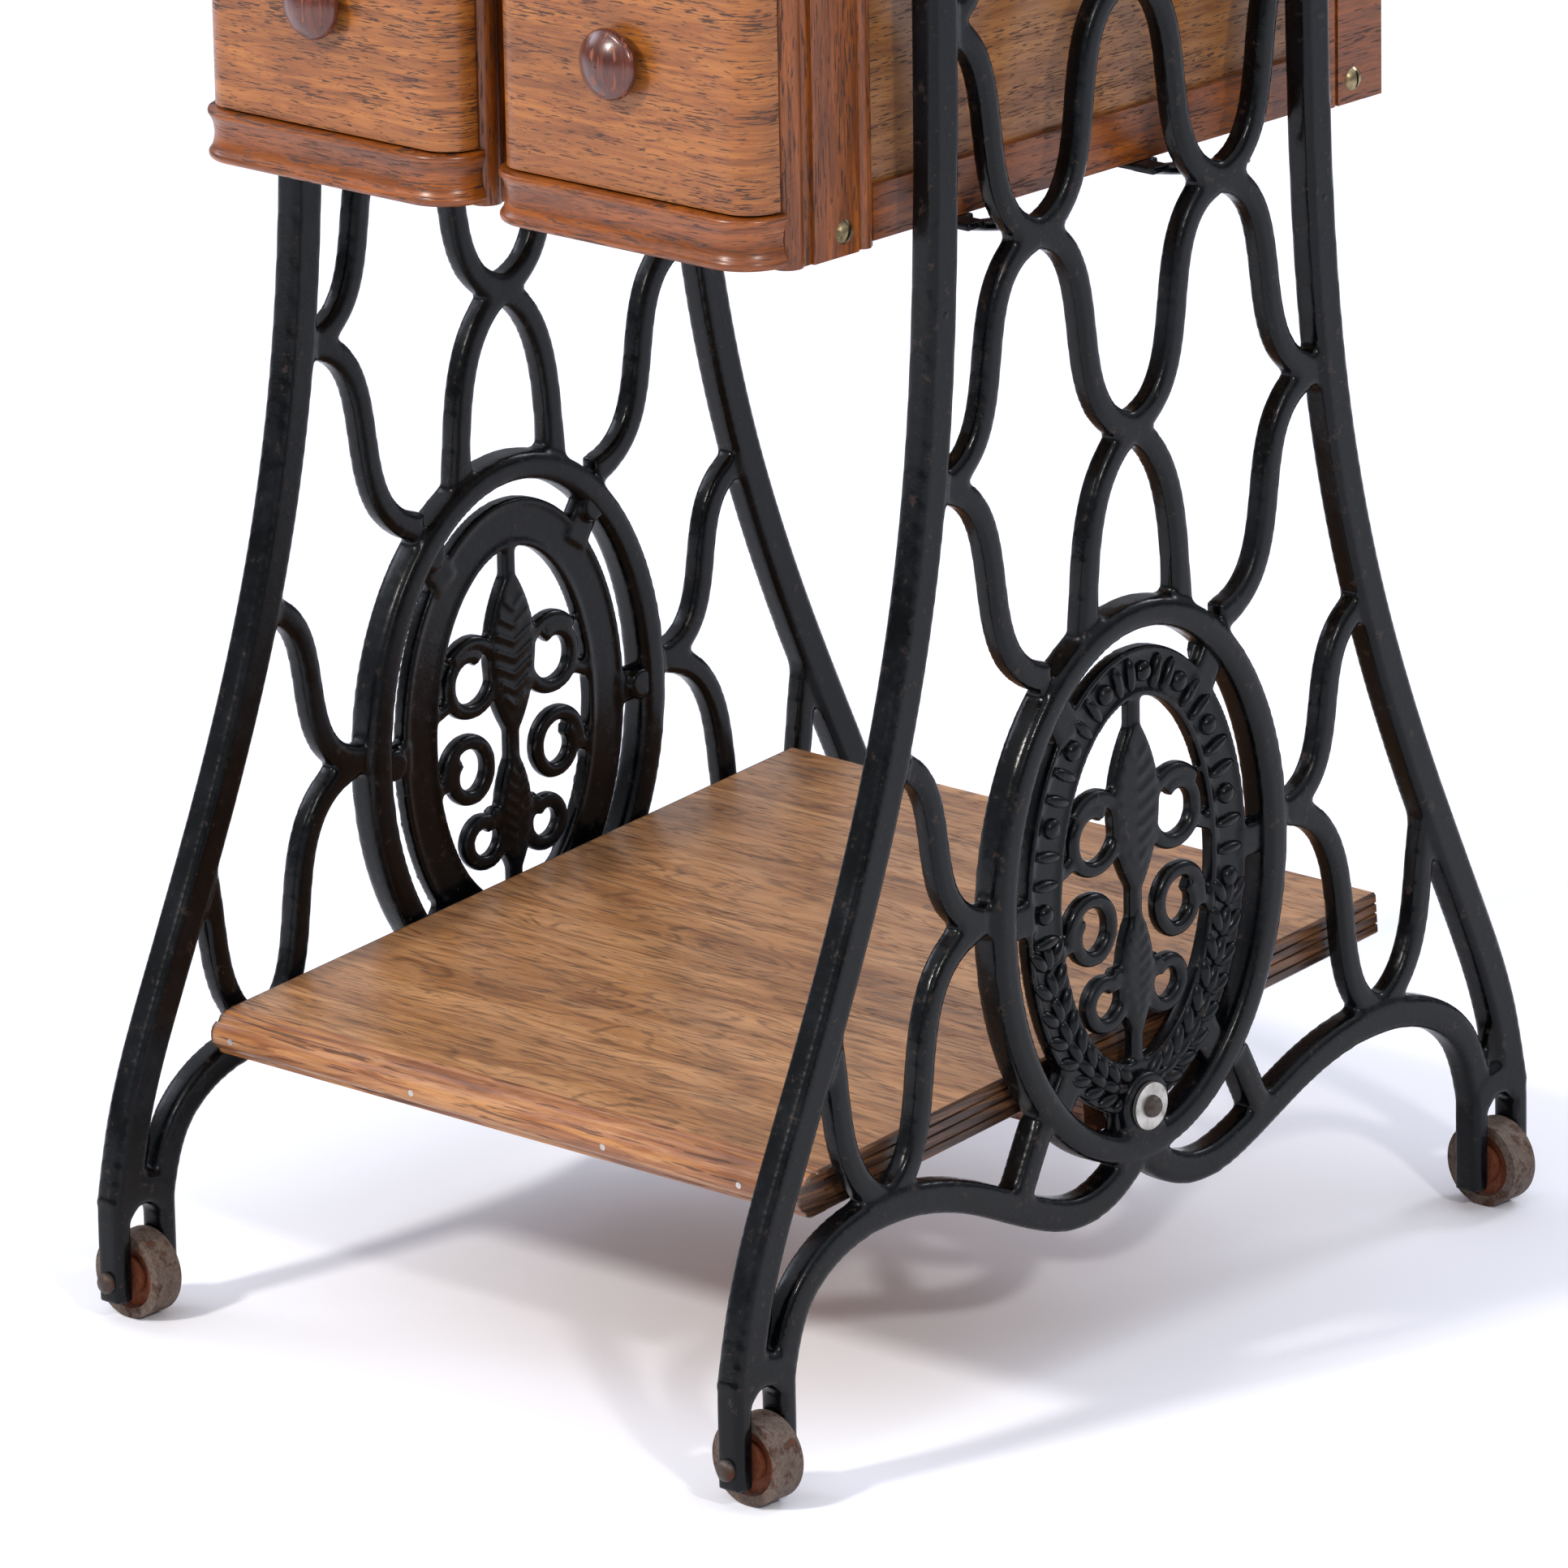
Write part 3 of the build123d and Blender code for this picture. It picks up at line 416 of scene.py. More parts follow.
@dataclass(frozen=True)
class RustedIron:
    """Bare cast iron that has rusted: dull grey-brown where it rolls, red in the hollows."""
    name: str = "rusted_cast_iron"
    worn: str = "#6a5c52"
    brown: str = "#4a3429"
    red: str = "#7a3c1e"
    hub_radius: float = 0.012
    wheel_x: float = 0.162
    axle_z: float = 0.017

    def build(self) -> bpy.types.Material:
        """Build the material."""
        material, tree, shader = new_material(self.name, Surface(metallic=0.15, specular=0.35))
        cloud = noise(tree, object_space(tree, (140, 140, 140)), 1.0, 5, 0.65)
        grit = noise(tree, object_space(tree, (900, 900, 900)), 1.0, 3, 0.6)
        tone = ramp(tree, cloud, [(0.3, self.brown), (0.5, self.worn), (0.62, self.brown),
                                  (0.75, self.red)]).outputs[0]
        place = add(tree, "ShaderNodeTexCoord").outputs["Object"]
        parts = add(tree, "ShaderNodeSeparateXYZ", Vector=place)
        side = sums(tree, "SUBTRACT", sums(tree, "ABSOLUTE", parts.outputs[0], 0.0), self.wheel_x)
        up = sums(tree, "SUBTRACT", parts.outputs[2], self.axle_z)
        squares = sums(tree, "ADD", sums(tree, "MULTIPLY", side, side), sums(tree, "MULTIPLY", up, up))
        inner = step(tree, sums(tree, "SQRT", squares, 0.0), self.hub_radius, self.hub_radius + 0.0015,
                     0.85, 0.0)
        tone = mix(tree, inner, tone, srgb(self.red))
        tone = mix(tree, step(tree, grit, 0.4, 0.7, 0.0, 0.35), tone, srgb(self.brown), "MULTIPLY")
        tree.links.new(tone, shader.inputs["Base Color"])
        tree.links.new(step(tree, cloud, 0.3, 0.7, 0.55, 0.9), shader.inputs["Roughness"])
        tree.links.new(bump(tree, grit, 0.25, 0.7, bump(tree, cloud, 0.5, 0.6)), shader.inputs["Normal"])
        return material


@dataclass(frozen=True)
class Metal:
    """Turned or drawn metal, dulled by handling and spotted by age."""
    name: str
    clean: str
    dull: str
    stain: str
    roughness: float = 0.3
    stain_amount: float = 0.5
    metallic: float = 1.0
    grit_mm: float = 1.2

    def build(self) -> bpy.types.Material:
        """Build the material."""
        material, tree, shader = new_material(self.name, Surface(metallic=self.metallic))
        per_metre = 1000 / self.grit_mm
        cloud = noise(tree, object_space(tree, (per_metre * 0.15,) * 3), 1.0, 4, 0.6)
        grit = noise(tree, object_space(tree, (per_metre,) * 3), 1.0, 3, 0.6)
        tone = mix(tree, step(tree, cloud, 0.35, 0.7), srgb(self.clean), srgb(self.dull))
        spots = step(tree, sums(tree, "ADD", cloud, sums(tree, "MULTIPLY", grit, 0.4)), 0.74, 0.9)
        tone = mix(tree, sums(tree, "MULTIPLY", spots, self.stain_amount), tone, srgb(self.stain))
        tree.links.new(tone, shader.inputs["Base Color"])
        tree.links.new(step(tree, cloud, 0.3, 0.75, self.roughness, self.roughness + 0.22),
                       shader.inputs["Roughness"])
        tree.links.new(bump(tree, grit, 0.05, 0.5), shader.inputs["Normal"])
        return material


@dataclass(frozen=True)
class Backdrop:
    """Matt white floor paper with a faint cool cast."""
    name: str = "white_floor_paper"
    colour: str = "#f1f2f7"

    def build(self) -> bpy.types.Material:
        """Build the material."""
        material, tree, shader = new_material(self.name, Surface(specular=0.15))
        tooth = noise(tree, object_space(tree, (700, 700, 700)), 1.0, 2, 0.5)
        shader.inputs["Base Color"].default_value = srgb(self.colour)
        shader.inputs["Roughness"].default_value = 0.9
        tree.links.new(bump(tree, tooth, 0.03, 0.2), shader.inputs["Normal"])
        return material


class Finishes:
    """Every material of the object, built once."""

    def __init__(self) -> None:
        """Build them all."""
        drawer = dict(light="#ab6a2d", middle="#925421", dark="#693812", pore="#361a09",
                      band_mm=9.0, pore_mm=0.58, pore_length_mm=7.0, pore_strength=0.9, pore_cover=0.8,
                      gloss=0.36, coat=0.12, flow=0.0)
        red = dict(light="#9b5318", middle="#80400b", dark="#542806", pore="#240f04",
                   band_mm=10.0, pore_mm=0.9, pore_length_mm=10.0, pore_cover=0.7, gloss=0.38, coat=0.1,
                   flow=0.35, flow_mm=8.0)
        self.iron = JapannedIron().build()
        self.head_iron = JapannedIron(name="polished_black_japan", black="#060607", bloom="#0d0e10",
                                      gloss=0.08, specular=0.5, wear_amount=0.15, pit_mm=0.05).build()
        self.rust = RustedIron().build()
        self.dark_steel = Metal("rusty_dark_steel", "#57504b", "#3a302a", "#5a2f1a", 0.42, 0.75,
                                0.75).build()
        self.bright_steel = Metal("matt_bright_steel", "#c9c6c0", "#a49f98", "#6b5a4a", 0.34, 0.4).build()
        self.nickel = Metal("nickel_plated_steel", "#d3d0ca", "#b9b5ae", "#7d7468", 0.14, 0.25).build()
        self.brass = Metal("aged_brass", "#9c8d6c", "#6f634b", "#3a3122", 0.24, 0.6).build()
        self.treadle = Oak("honey_oak_board", light="#c08f60", middle="#a87646", dark="#74492a",
                           pore="#3d2416", band_mm=22.0, pore_mm=1.0, pore_length_mm=12.0,
                           pore_strength=0.5, pore_cover=0.5, figure=1.6, gloss=0.42, coat=0.12,
                           flow=0.6, flow_mm=30.0,
                           end_grain_x=0.1535, seed=1).build()
        self.nosing = Oak("honey_oak_nosing", light="#bd8651", middle="#9a6035", dark="#6b3d20",
                          pore="#3a1f10", band_mm=9.0, pore_mm=1.2, pore_length_mm=26.0,
                          pore_cover=0.6, gloss=0.40, coat=0.15, end_grain_x=0.1535, seed=2).build()
        self.batten = Oak("red_oak_batten", **{**red, "gloss": 0.45, "coat": 0.1}, seed=3).build()
        self.drawer = Oak("golden_oak_drawer_front", **drawer, grain=Grain.LEVEL, seed=4).build()
        self.panel = Oak("golden_oak_side_panel", **{**drawer, "light": "#a5703a", "middle": "#8e5b2b"},
                         grain=Grain.ALONG_Y, seed=5).build()
        self.stile = Oak("red_oak_stile", **red, grain=Grain.ALONG_Z, seed=6).build()
        self.moulding = Oak("red_oak_base_moulding", **{**red, "pore_mm": 0.7}, grain=Grain.LEVEL,
                            seed=7).build()
        self.knob = Oak("dark_turned_oak", light="#6a3322", middle="#54261a", dark="#38170f",
                        pore="#96502f", grain=Grain.ALONG_Z, band_mm=5.0, pore_mm=1.6, pore_length_mm=40.0,
                        pore_strength=0.6, pore_cover=0.4, gloss=0.3, coat=0.3, seed=8).build()
        plain = dict(light="#c9a878", middle="#b08d5e", dark="#8a6a42", pore="#6b4d2c", pore_strength=0.4,
                     gloss=0.55, coat=0.0)
        self.plain = Oak("plain_secondary_wood", **plain, grain=Grain.ALONG_Y, seed=9).build()
        self.plain_tall = Oak("plain_back_board", **plain, grain=Grain.ALONG_Z, seed=10).build()
        self.table = Oak("golden_oak_table_top", **{**drawer, "band_mm": 30.0, "pore_length_mm": 14.0},
                         seed=11).build()
        self.rail = Oak("red_oak_side_rail", **red, grain=Grain.ALONG_Y, seed=12).build()
        self.paper = Backdrop().build()

    def dress_cad(self) -> None:
        """Give every carried-over CAD node its finish."""
        rules: list[tuple[str, bpy.types.Material]] = [
            ("iron_end", self.iron), ("bearer", self.iron), ("machine_casting", self.head_iron),
            ("hand_wheel", self.head_iron), ("caster_wheel", self.rust), ("caster_pins", self.dark_steel),
            ("table_screws", self.dark_steel), ("nosing_nails", self.bright_steel),
            ("pivot_bolts", self.dark_steel), ("pivot_washers", self.bright_steel),
            ("bank_screws", self.brass), ("treadle_board", self.treadle), ("treadle_nosing", self.nosing),
            ("treadle_batten", self.batten), ("_knob", self.knob), ("drawer_front", self.drawer),
            ("side_panels", self.panel), ("stiles", self.stile), ("side_frames", self.rail),
            ("base_moulding", self.moulding), ("drawer_box", self.plain), ("drawer_floor", self.plain),
            ("_back", self.plain_tall), ("_shelf", self.plain), ("_floor", self.plain),
            ("top_board", self.plain), ("table_top", self.table), ("machine_base", self.table),
            ("", self.nickel),
        ]
        for name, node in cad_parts.items():
            material = next(made for key, made in rules if key in name)
            node.data.materials.clear()
            node.data.materials.append(material)


# ---------------------------------------------------------------- mesh helpers

def mesh_object(name: str, verts: Iterable[Sequence[float]], faces: Iterable[Sequence[int]],
                material: Optional[bpy.types.Material] = None) -> bpy.types.Object:
    """A new object at the origin from points and faces.

    Args:
        name: the piece's name.
        verts: points in metres.
        faces: lists of point numbers.
        material: its finish.

    Returns:
        The object, linked into the scene.
    """
    mesh = bpy.data.meshes.new(name)
    mesh.from_pydata([tuple(v) for v in verts], [], [tuple(f) for f in faces])
    mesh.update()
    made = bpy.data.objects.new(name, mesh)
    bpy.context.scene.collection.objects.link(made)
    if material is not None:
        mesh.materials.append(material)
    return made


def bezier(start: Point2, first: Point2, last: Point2, end: Point2, count: int = 36) -> list[Point2]:
    """Points along a cubic Bezier curve in a plane."""
    points = []
    for i in range(count + 1):
        t = i / count
        a, b, c, d = (1 - t) ** 3, 3 * t * (1 - t) ** 2, 3 * t * t * (1 - t), t ** 3
        points.append((a * start[0] + b * first[0] + c * last[0] + d * end[0],
                       a * start[1] + b * first[1] + c * last[1] + d * end[1]))
    return points


def s_curve(start: Point2, end: Point2, lead: float = 0.81, rise: float = 0.14,
            bulge: float = 0.0) -> list[Point2]:
    """A bar's line that leaves and meets its joints sideways and stands steep between them."""
    dy, dz = end[0] - start[0], end[1] - start[1]
    first = (start[0] + lead * dy + bulge, start[1] + rise * dz)
    last = (end[0] - lead * dy + bulge, end[1] - rise * dz)
    return bezier(start, first, last, end)


def through(points: Sequence[Point2], per_span: int = 12) -> list[Point2]:
    """A smooth line through points, by natural cubic splines on chord length.

    Args:
        points: the points it passes through.
        per_span: how many pieces each span is cut into.

    Returns:
        Points along the line.
    """
    n = len(points)
    knots = [0.0]
    for a, b in zip(points, points[1:]):
        knots.append(knots[-1] + math.dist(a, b))
    columns = []
    for axis in (0, 1):
        y = [p[axis] for p in points]
        h = [knots[i + 1] - knots[i] for i in range(n - 1)]
        alpha = [0.0] * n
        for i in range(1, n - 1):
            alpha[i] = 3 * ((y[i + 1] - y[i]) / h[i] - (y[i] - y[i - 1]) / h[i - 1])
        lower, mu, z = [1.0] * n, [0.0] * n, [0.0] * n
        for i in range(1, n - 1):
            lower[i] = 2 * (knots[i + 1] - knots[i - 1]) - h[i - 1] * mu[i - 1]
            mu[i] = h[i] / lower[i]
            z[i] = (alpha[i] - h[i - 1] * z[i - 1]) / lower[i]
        c = [0.0] * n
        for j in range(n - 2, -1, -1):
            c[j] = z[j] - mu[j] * c[j + 1]
        column = []
        for i in range(n - 1):
            b = (y[i + 1] - y[i]) / h[i] - h[i] * (c[i + 1] + 2 * c[i]) / 3
            d = (c[i + 1] - c[i]) / (3 * h[i])
            for k in range(per_span):
                t = h[i] * k / per_span
                column.append(y[i] + b * t + c[i] * t * t + d * t ** 3)
        column.append(y[-1])
        columns.append(column)
    return list(zip(*columns))


def bar_section(width: float, depth: float, chamfer: float) -> list[Point2]:
    """A flat bar's section with softened corners, as (across, through) points."""
    w, d, c = width / 2, depth / 2, chamfer
    k = c * 0.3
    return [(w - c, -d), (w - k, -d + k), (w, -d + c), (w, d - c), (w - k, d - k), (w - c, d),
            (-w + c, d), (-w + k, d - k), (-w, d - c), (-w, -d + c), (-w + k, -d + k), (-w + c, -d)]


@dataclass
class Casting:
    """Collects bars, plates and blocks of one casting, then fuses them into one skin."""
    verts: list[tuple[float, float, float]] = field(default_factory=list)
    faces: list[tuple[int, ...]] = field(default_factory=list)

    def loft(self, rings: Sequence[Sequence[Sequence[float]]], closed: bool = False) -> None:
        """Skin a row of rings of equal length.

        Args:
            rings: rows of (x, y, z) points in millimetres.
            closed: whether the last ring meets the first one.
        """
        base, size = len(self.verts), len(rings[0])
        for ring in rings:
            self.verts.extend(tuple(v * MM for v in p) for p in ring)
        spans = len(rings) if closed else len(rings) - 1
        for i in range(spans):
            a, b = base + i * size, base + ((i + 1) % len(rings)) * size
            for j in range(size):
                k = (j + 1) % size
                self.faces.append((a + j, a + k, b + k, b + j))
        if not closed:
            self.faces.append(tuple(base + j for j in reversed(range(size))))
            self.faces.append(tuple(base + (len(rings) - 1) * size + j for j in range(size)))

    def bar(self, line: Sequence[Point2], width: float, depth: float, chamfer: float = 2.0,
            closed: bool = False, swell: Optional[Callable[[float], float]] = None, x: float = 0.0) -> None:
        """Sweep a flat bar along a line in the plane of the casting.

        Args:
            line: (y, z) points in millimetres.
            width: across the line.
            depth: along X.
            chamfer: size of the softened corners.
            closed: whether the line is a loop.
            swell: width factor against the share of the length.
            x: where the middle plane of the bar stands.
        """
        rings = []
        count = len(line)
        for i, (y, z) in enumerate(line):
            before = line[(i - 1) % count] if closed or i > 0 else line[i]
            after = line[(i + 1) % count] if closed or i < count - 1 else line[i]
            ty, tz = after[0] - before[0], after[1] - before[1]
            size = math.hypot(ty, tz) or 1.0
            ny, nz = -tz / size, ty / size
            factor = swell(i / (count - 1)) if swell else 1.0
            section = bar_section(width * factor, depth, chamfer)
            rings.append([(x + deep, y + across * ny, z + across * nz) for across, deep in section])
        self.loft(rings, closed)

    def drum(self, y: float, z: float, radius: float, x0: float, x1: float, count: int = 32) -> None:
        """A round boss along X."""
        self.loft([[(x, y + radius * c, z + radius * s) for c, s in unit_circle(count)] for x in (x0, x1)])

    def block(self, low: Sequence[float], high: Sequence[float]) -> None:
        """A box given by its limits in millimetres."""
        (x0, y0, z0), (x1, y1, z1) = low, high
        self.loft([[(x0, y0, z0), (x1, y0, z0), (x1, y1, z0), (x0, y1, z0)],
                   [(x0, y0, z1), (x1, y0, z1), (x1, y1, z1), (x0, y1, z1)]])

    def fuse(self, name: str, voxel_mm: float, smooth: int, factor: float = 0.5) -> bpy.types.Object:
        """Fuse everything into one closed skin with soft fillets where bars meet.

        Args:
            name: the piece's name.
            voxel_mm: the grid of the new skin.
            smooth: rounds of smoothing.
            factor: strength of one round.

        Returns:
            The fused object.
        """
        made = mesh_object(name, self.verts, self.faces)
        remesh = made.modifiers.new("skin", "REMESH")
        remesh.mode = "VOXEL"
        remesh.voxel_size = voxel_mm * MM
        soften = made.modifiers.new("fillets", "SMOOTH")
        soften.factor = factor
        soften.iterations = smooth
        apply_modifiers(made)
        return made


def apply_modifiers(made: bpy.types.Object) -> None:
    """Bake an object's modifiers into its mesh and remove them."""
    graph = bpy.context.evaluated_depsgraph_get()
    graph.update()
    baked = bpy.data.meshes.new_from_object(made.evaluated_get(graph), depsgraph=graph)
    made.modifiers.clear()
    old, made.data = made.data, baked
    bpy.data.meshes.remove(old)


def shade_smooth(made: bpy.types.Object, angle: float = 180.0) -> None:
    """Shade an object smooth, with edges over an angle in degrees kept sharp."""
    mesh = made.data
    mesh.polygons.foreach_set("use_smooth", [True] * len(mesh.polygons))
    if angle < 180:
        mesh.set_sharp_from_angle(angle=math.radians(angle))


def point_outwards(made: bpy.types.Object) -> None:
    """Merge doubles and turn every face outwards."""
    shape = bmesh.new()
    shape.from_mesh(made.data)
    bmesh.ops.remove_doubles(shape, verts=shape.verts, dist=1e-7)
    bmesh.ops.recalc_face_normals(shape, faces=shape.faces)
    shape.to_mesh(made.data)
    shape.free()


def unit_circle(count: int) -> list[Point2]:
    """Points evenly round a circle of radius one."""
    return [(math.cos(2 * math.pi * i / count), math.sin(2 * math.pi * i / count)) for i in range(count)]


def hang(made: bpy.types.Object, body: str, node: Optional[str] = None, angle: float = 180.0,
         finish: Optional[bpy.types.Material] = None) -> None:
    """Shade a finished piece, hide the CAD node that it stands for and parent it to the body that carries
    it.

    Args:
        made: the piece.
        body: the body that it rides on.
        node: the CAD node that it stands for.
        angle: edges over this many degrees stay sharp.
        finish: its only material, where the mesh has none yet.
    """
    if finish is not None:
        made.data.materials.clear()
        made.data.materials.append(finish)
    shade_smooth(made, angle)
    if node is not None:
        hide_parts(node)
    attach(made, body)
    LOG.info("%s: %d faces", made.name, len(made.data.polygons))


# ---------------------------------------------------------------- repeated small pieces

@dataclass(frozen=True)
class Spot:
    """Where one repeated piece goes: its place, the way it faces, its turn and its size."""
    place: tuple[float, float, float]
    facing: tuple[float, float, float] = (0.0, -1.0, 0.0)
    turn: float = 0.0
    size: tuple[float, float, float] = (1.0, 1.0, 1.0)


class Planter:
    """Sets copies of one small shape on a list of spots with Geometry Nodes."""

    def __init__(self, shape: bpy.types.Object, material: bpy.types.Material) -> None:
        """Keep the shape, which points along +Z, and the finish of its copies."""
        self.shape = shape
        self.material = material

    def tree(self) -> tuple[bpy.types.NodeTree, dict[str, str]]:
        """Build the node tree.

        Returns:
            The tree, and its inputs' identifiers by name.
        """
        tree = bpy.data.node_groups.new("plant_copies", "GeometryNodeTree")
        names = {}
        face = tree.interface
        face.new_socket("Geometry", in_out="INPUT", socket_type="NodeSocketGeometry")
        for name, kind in (("Shape", "NodeSocketObject"), ("Scale", "NodeSocketFloat"),
                           ("Finish", "NodeSocketMaterial")):
            names[name] = face.new_socket(name, in_out="INPUT", socket_type=kind).identifier
        face.new_socket("Geometry", in_out="OUTPUT", socket_type="NodeSocketGeometry")
        ins = add(tree, "NodeGroupInput")
        facing = add(tree, "GeometryNodeInputNamedAttribute", {"data_type": "FLOAT_VECTOR"}, Name="facing")
        turn = add(tree, "GeometryNodeInputNamedAttribute", {"data_type": "FLOAT"}, Name="turn")
        size = add(tree, "GeometryNodeInputNamedAttribute", {"data_type": "FLOAT_VECTOR"}, Name="size")
        info = add(tree, "GeometryNodeObjectInfo", {"transform_space": "ORIGINAL"},
                   Object=ins.outputs["Shape"])
        aim = add(tree, "FunctionNodeAlignRotationToVector", {"axis": "Z"}, Vector=facing.outputs[0])
        spin = add(tree, "FunctionNodeAxisAngleToRotation", Axis=(0, 0, 1), Angle=turn.outputs[0])
        both = add(tree, "FunctionNodeRotateRotation", {"rotation_space": "LOCAL"}, i0=aim.outputs[0],
                   i1=spin.outputs[0])
        scaled = add(tree, "ShaderNodeVectorMath", {"operation": "SCALE"}, i0=size.outputs[0],
                     Scale=ins.outputs["Scale"])
        copies = add(tree, "GeometryNodeInstanceOnPoints", Points=ins.outputs["Geometry"],
                     Instance=info.outputs["Geometry"], Rotation=both.outputs[0], Scale=scaled.outputs[0])
        real = add(tree, "GeometryNodeRealizeInstances", Geometry=copies.outputs[0])
        dressed = add(tree, "GeometryNodeSetMaterial", Geometry=real.outputs[0],
                      Material=ins.outputs["Finish"])
        add(tree, "NodeGroupOutput", Geometry=dressed.outputs[0])
        return tree, names

    def plant(self, name: str, spots: Sequence[Spot], scale: float = 1.0) -> bpy.types.Object:
        """Plant a copy on every spot, as one plain mesh, and remove the pattern shape.

        Args:
            name: the piece's name.
            spots: where the copies go, in metres.
            scale: a factor on every copy.

        Returns:
            The mesh object.
        """
        made = mesh_object(name, [s.place for s in spots], [])
        attributes = made.data.attributes
        attributes.new("facing", "FLOAT_VECTOR", "POINT").data.foreach_set(
            "vector", [v for s in spots for v in s.facing])
        attributes.new("turn", "FLOAT", "POINT").data.foreach_set("value", [s.turn for s in spots])
        attributes.new("size", "FLOAT_VECTOR", "POINT").data.foreach_set(
            "vector", [v for s in spots for v in s.size])
        tree, names = self.tree()
        modifier = made.modifiers.new("plant", "NODES")
        modifier.node_group = tree
        modifier[names["Shape"]] = self.shape
        modifier[names["Scale"]] = scale
        modifier[names["Finish"]] = self.material
        apply_modifiers(made)
        bpy.data.node_groups.remove(tree)
        bpy.data.objects.remove(self.shape)
        return made


def dome_shape(name: str, radius: float, height: float, sides: int = 20, rings: int = 5,
               squareness: float = 0.5) -> bpy.types.Object:
    """A closed round-topped button on the XY plane, pointing along +Z.

    Args:
        name: its name.
        radius: base radius in metres.
        height: its height in metres.
        sides: points round it.
        rings: rings from base to top.
        squareness: 0.5 gives a round dome, less gives a flatter top.

    Returns:
        The object.
    """
    verts, faces = [], []
    for i in range(rings):
        angle = math.pi / 2 * i / rings
        r, z = radius * math.cos(angle) ** (2 * squareness), height * math.sin(angle)
        verts += [(r * c, r * s, z) for c, s in unit_circle(sides)]
    verts.append((0, 0, height))
    for i in range(rings - 1):
        for j in range(sides):
            k = (j + 1) % sides
            faces.append((i * sides + j, i * sides + k, (i + 1) * sides + k, (i + 1) * sides + j))
    top = len(verts) - 1
    faces += [((rings - 1) * sides + j, (rings - 1) * sides + (j + 1) % sides, top) for j in range(sides)]
    faces.append(tuple(reversed(range(sides))))
    made = mesh_object(name, verts, faces)
    shade_smooth(made, 50)
    return made


# ---------------------------------------------------------------- iron ends

@dataclass
class IronEnd:
    """One openwork cast-iron end with its medallion, in millimetres."""
    side: int
    plane_x: float = 162.0
    leg_width: float = 14.5
    leg_depth: float = 12.0
    bar_width: float = 10.2
    bar_depth: float = 8.9
    chord_width: float = 12.5
    chord_depth: float = 11.0
    ring_z: float = 188.0
    ring_half_width: float = 85.0
    ring_half_height: float = 110.0
    ring_side_width: float = 12.5
    ring_top_width: float = 9.5
    ring_bar: float = 11.6
    ring_depth: float = 13.8
    foot_y: float = 216.0
    foot_half: float = 16.8
    fork_half: float = 7.8
    leg_y: float = 103.5
    crossing_y: float = 52.0
    row_low: float = 366.0
    row_mid: float = 452.0
    row_high: float = 540.0
    row_top: float = 627.0
    rail_half: float = 112.75
    rail_z: float = 694.0
    flange_z: float = 700.4
    flange_half: float = 16.6
    top_z: float = 705.4
    pivot_z: float = 99.0
    pivot_boss: float = 13.0
    corner: float = 1.9
    voxel: float = 1.5

    leg_points: tuple[Point2, ...] = ((105.5, 698.7), (105.5, 540), (107.5, 452), (116, 361), (134.5, 280),
                                      (164, 201), (199, 126), (218, 80), (225, 50))
    chord_points: tuple[Point2, ...] = ((205, 48), (195, 74), (180, 87), (144, 96), (98, 87.5), (59, 70.5),
                                        (35, 65), (14, 71), (2, 80))

    def name(self) -> str:
        """The side's word, as in the CAD nodes' names."""
        return "right" if self.side > 0 else "left"

    def lattice(self) -> list[list[Point2]]:
        """Centre lines of the thin bars of one half."""
        middle, top = (self.crossing_y, self.row_mid), (self.crossing_y, self.row_top)
        low_middle, high_middle = (0, self.row_low), (0, self.row_high)
        low_leg, high_leg = (107.5, self.row_low), (self.leg_y, self.row_high)
        ring_side, rail_joint = (88, 194), (145, 99)
        return [
            s_curve(middle, high_middle), s_curve(middle, high_leg),
            s_curve(middle, low_middle), s_curve(middle, low_leg),
            s_curve(low_leg, (50, 280)),
            bezier(low_middle, (22, 352), (26, 330), (27, 291)),
            s_curve((138, 267), ring_side), s_curve(ring_side, rail_joint, bulge=8),
            bezier((176, 176), (166, 150), (176, 115), rail_joint),
            s_curve(high_middle, top), s_curve(high_leg, top),
            bezier(top, (24, 641), (26, 667), (20, 700)),
            bezier(top, (80, 641), (78, 667), (84, 700)),
        ]

    def build(self, finishes: Finishes) -> None:
        """Build the frame and the medallion and hang them on the stand."""
        self.build_frame(finishes.iron)
        Medallion(self).build(finishes.iron)

    def build_frame(self, iron: bpy.types.Material) -> None:
        """Fuse legs, lattice, bottom rail, oval and forks into one casting."""
        casting = Casting()
        x = self.side * self.plane_x
        swell = lambda t: 1.0 + 0.16 * (math.exp(-(t / 0.09) ** 2) + math.exp(-((1 - t) / 0.09) ** 2))
        for half in (-1, 1):
            flip = lambda line: [(half * y, z) for y, z in line]
            casting.bar(flip(through(self.leg_points)), self.leg_width + 0.6, self.leg_depth,
                        self.corner, x=x)
            casting.bar(flip(through(self.chord_points)), self.chord_width + 0.4, self.chord_depth,
                        self.corner, x=x)
            casting.bar(flip([(57, 105), (70, 80)]), self.chord_width * 0.9, self.chord_depth, 1.8, x=x)
            for line in self.lattice():
                casting.bar(flip(line), self.bar_width, self.bar_depth, 1.5, swell=swell, x=x)
            self.fork(casting, half, x)
        self.oval(casting, x)
        rail, wide = self.rail_half, self.flange_half
        casting.block((x - 6, -rail, self.rail_z), (x + 6, rail, self.top_z))
        casting.block((x - wide, -rail + 0.4, self.flange_z), (x + wide, rail - 0.4, self.top_z))
        casting.drum(0, self.pivot_z, self.pivot_boss, x - 6.6, x + 6.6)
        made = casting.fuse(f"cast_frame_{self.name()}", self.voxel, 3, 0.45)
        hang(made, "stand", f"iron_end_{self.name()}", finish=iron)

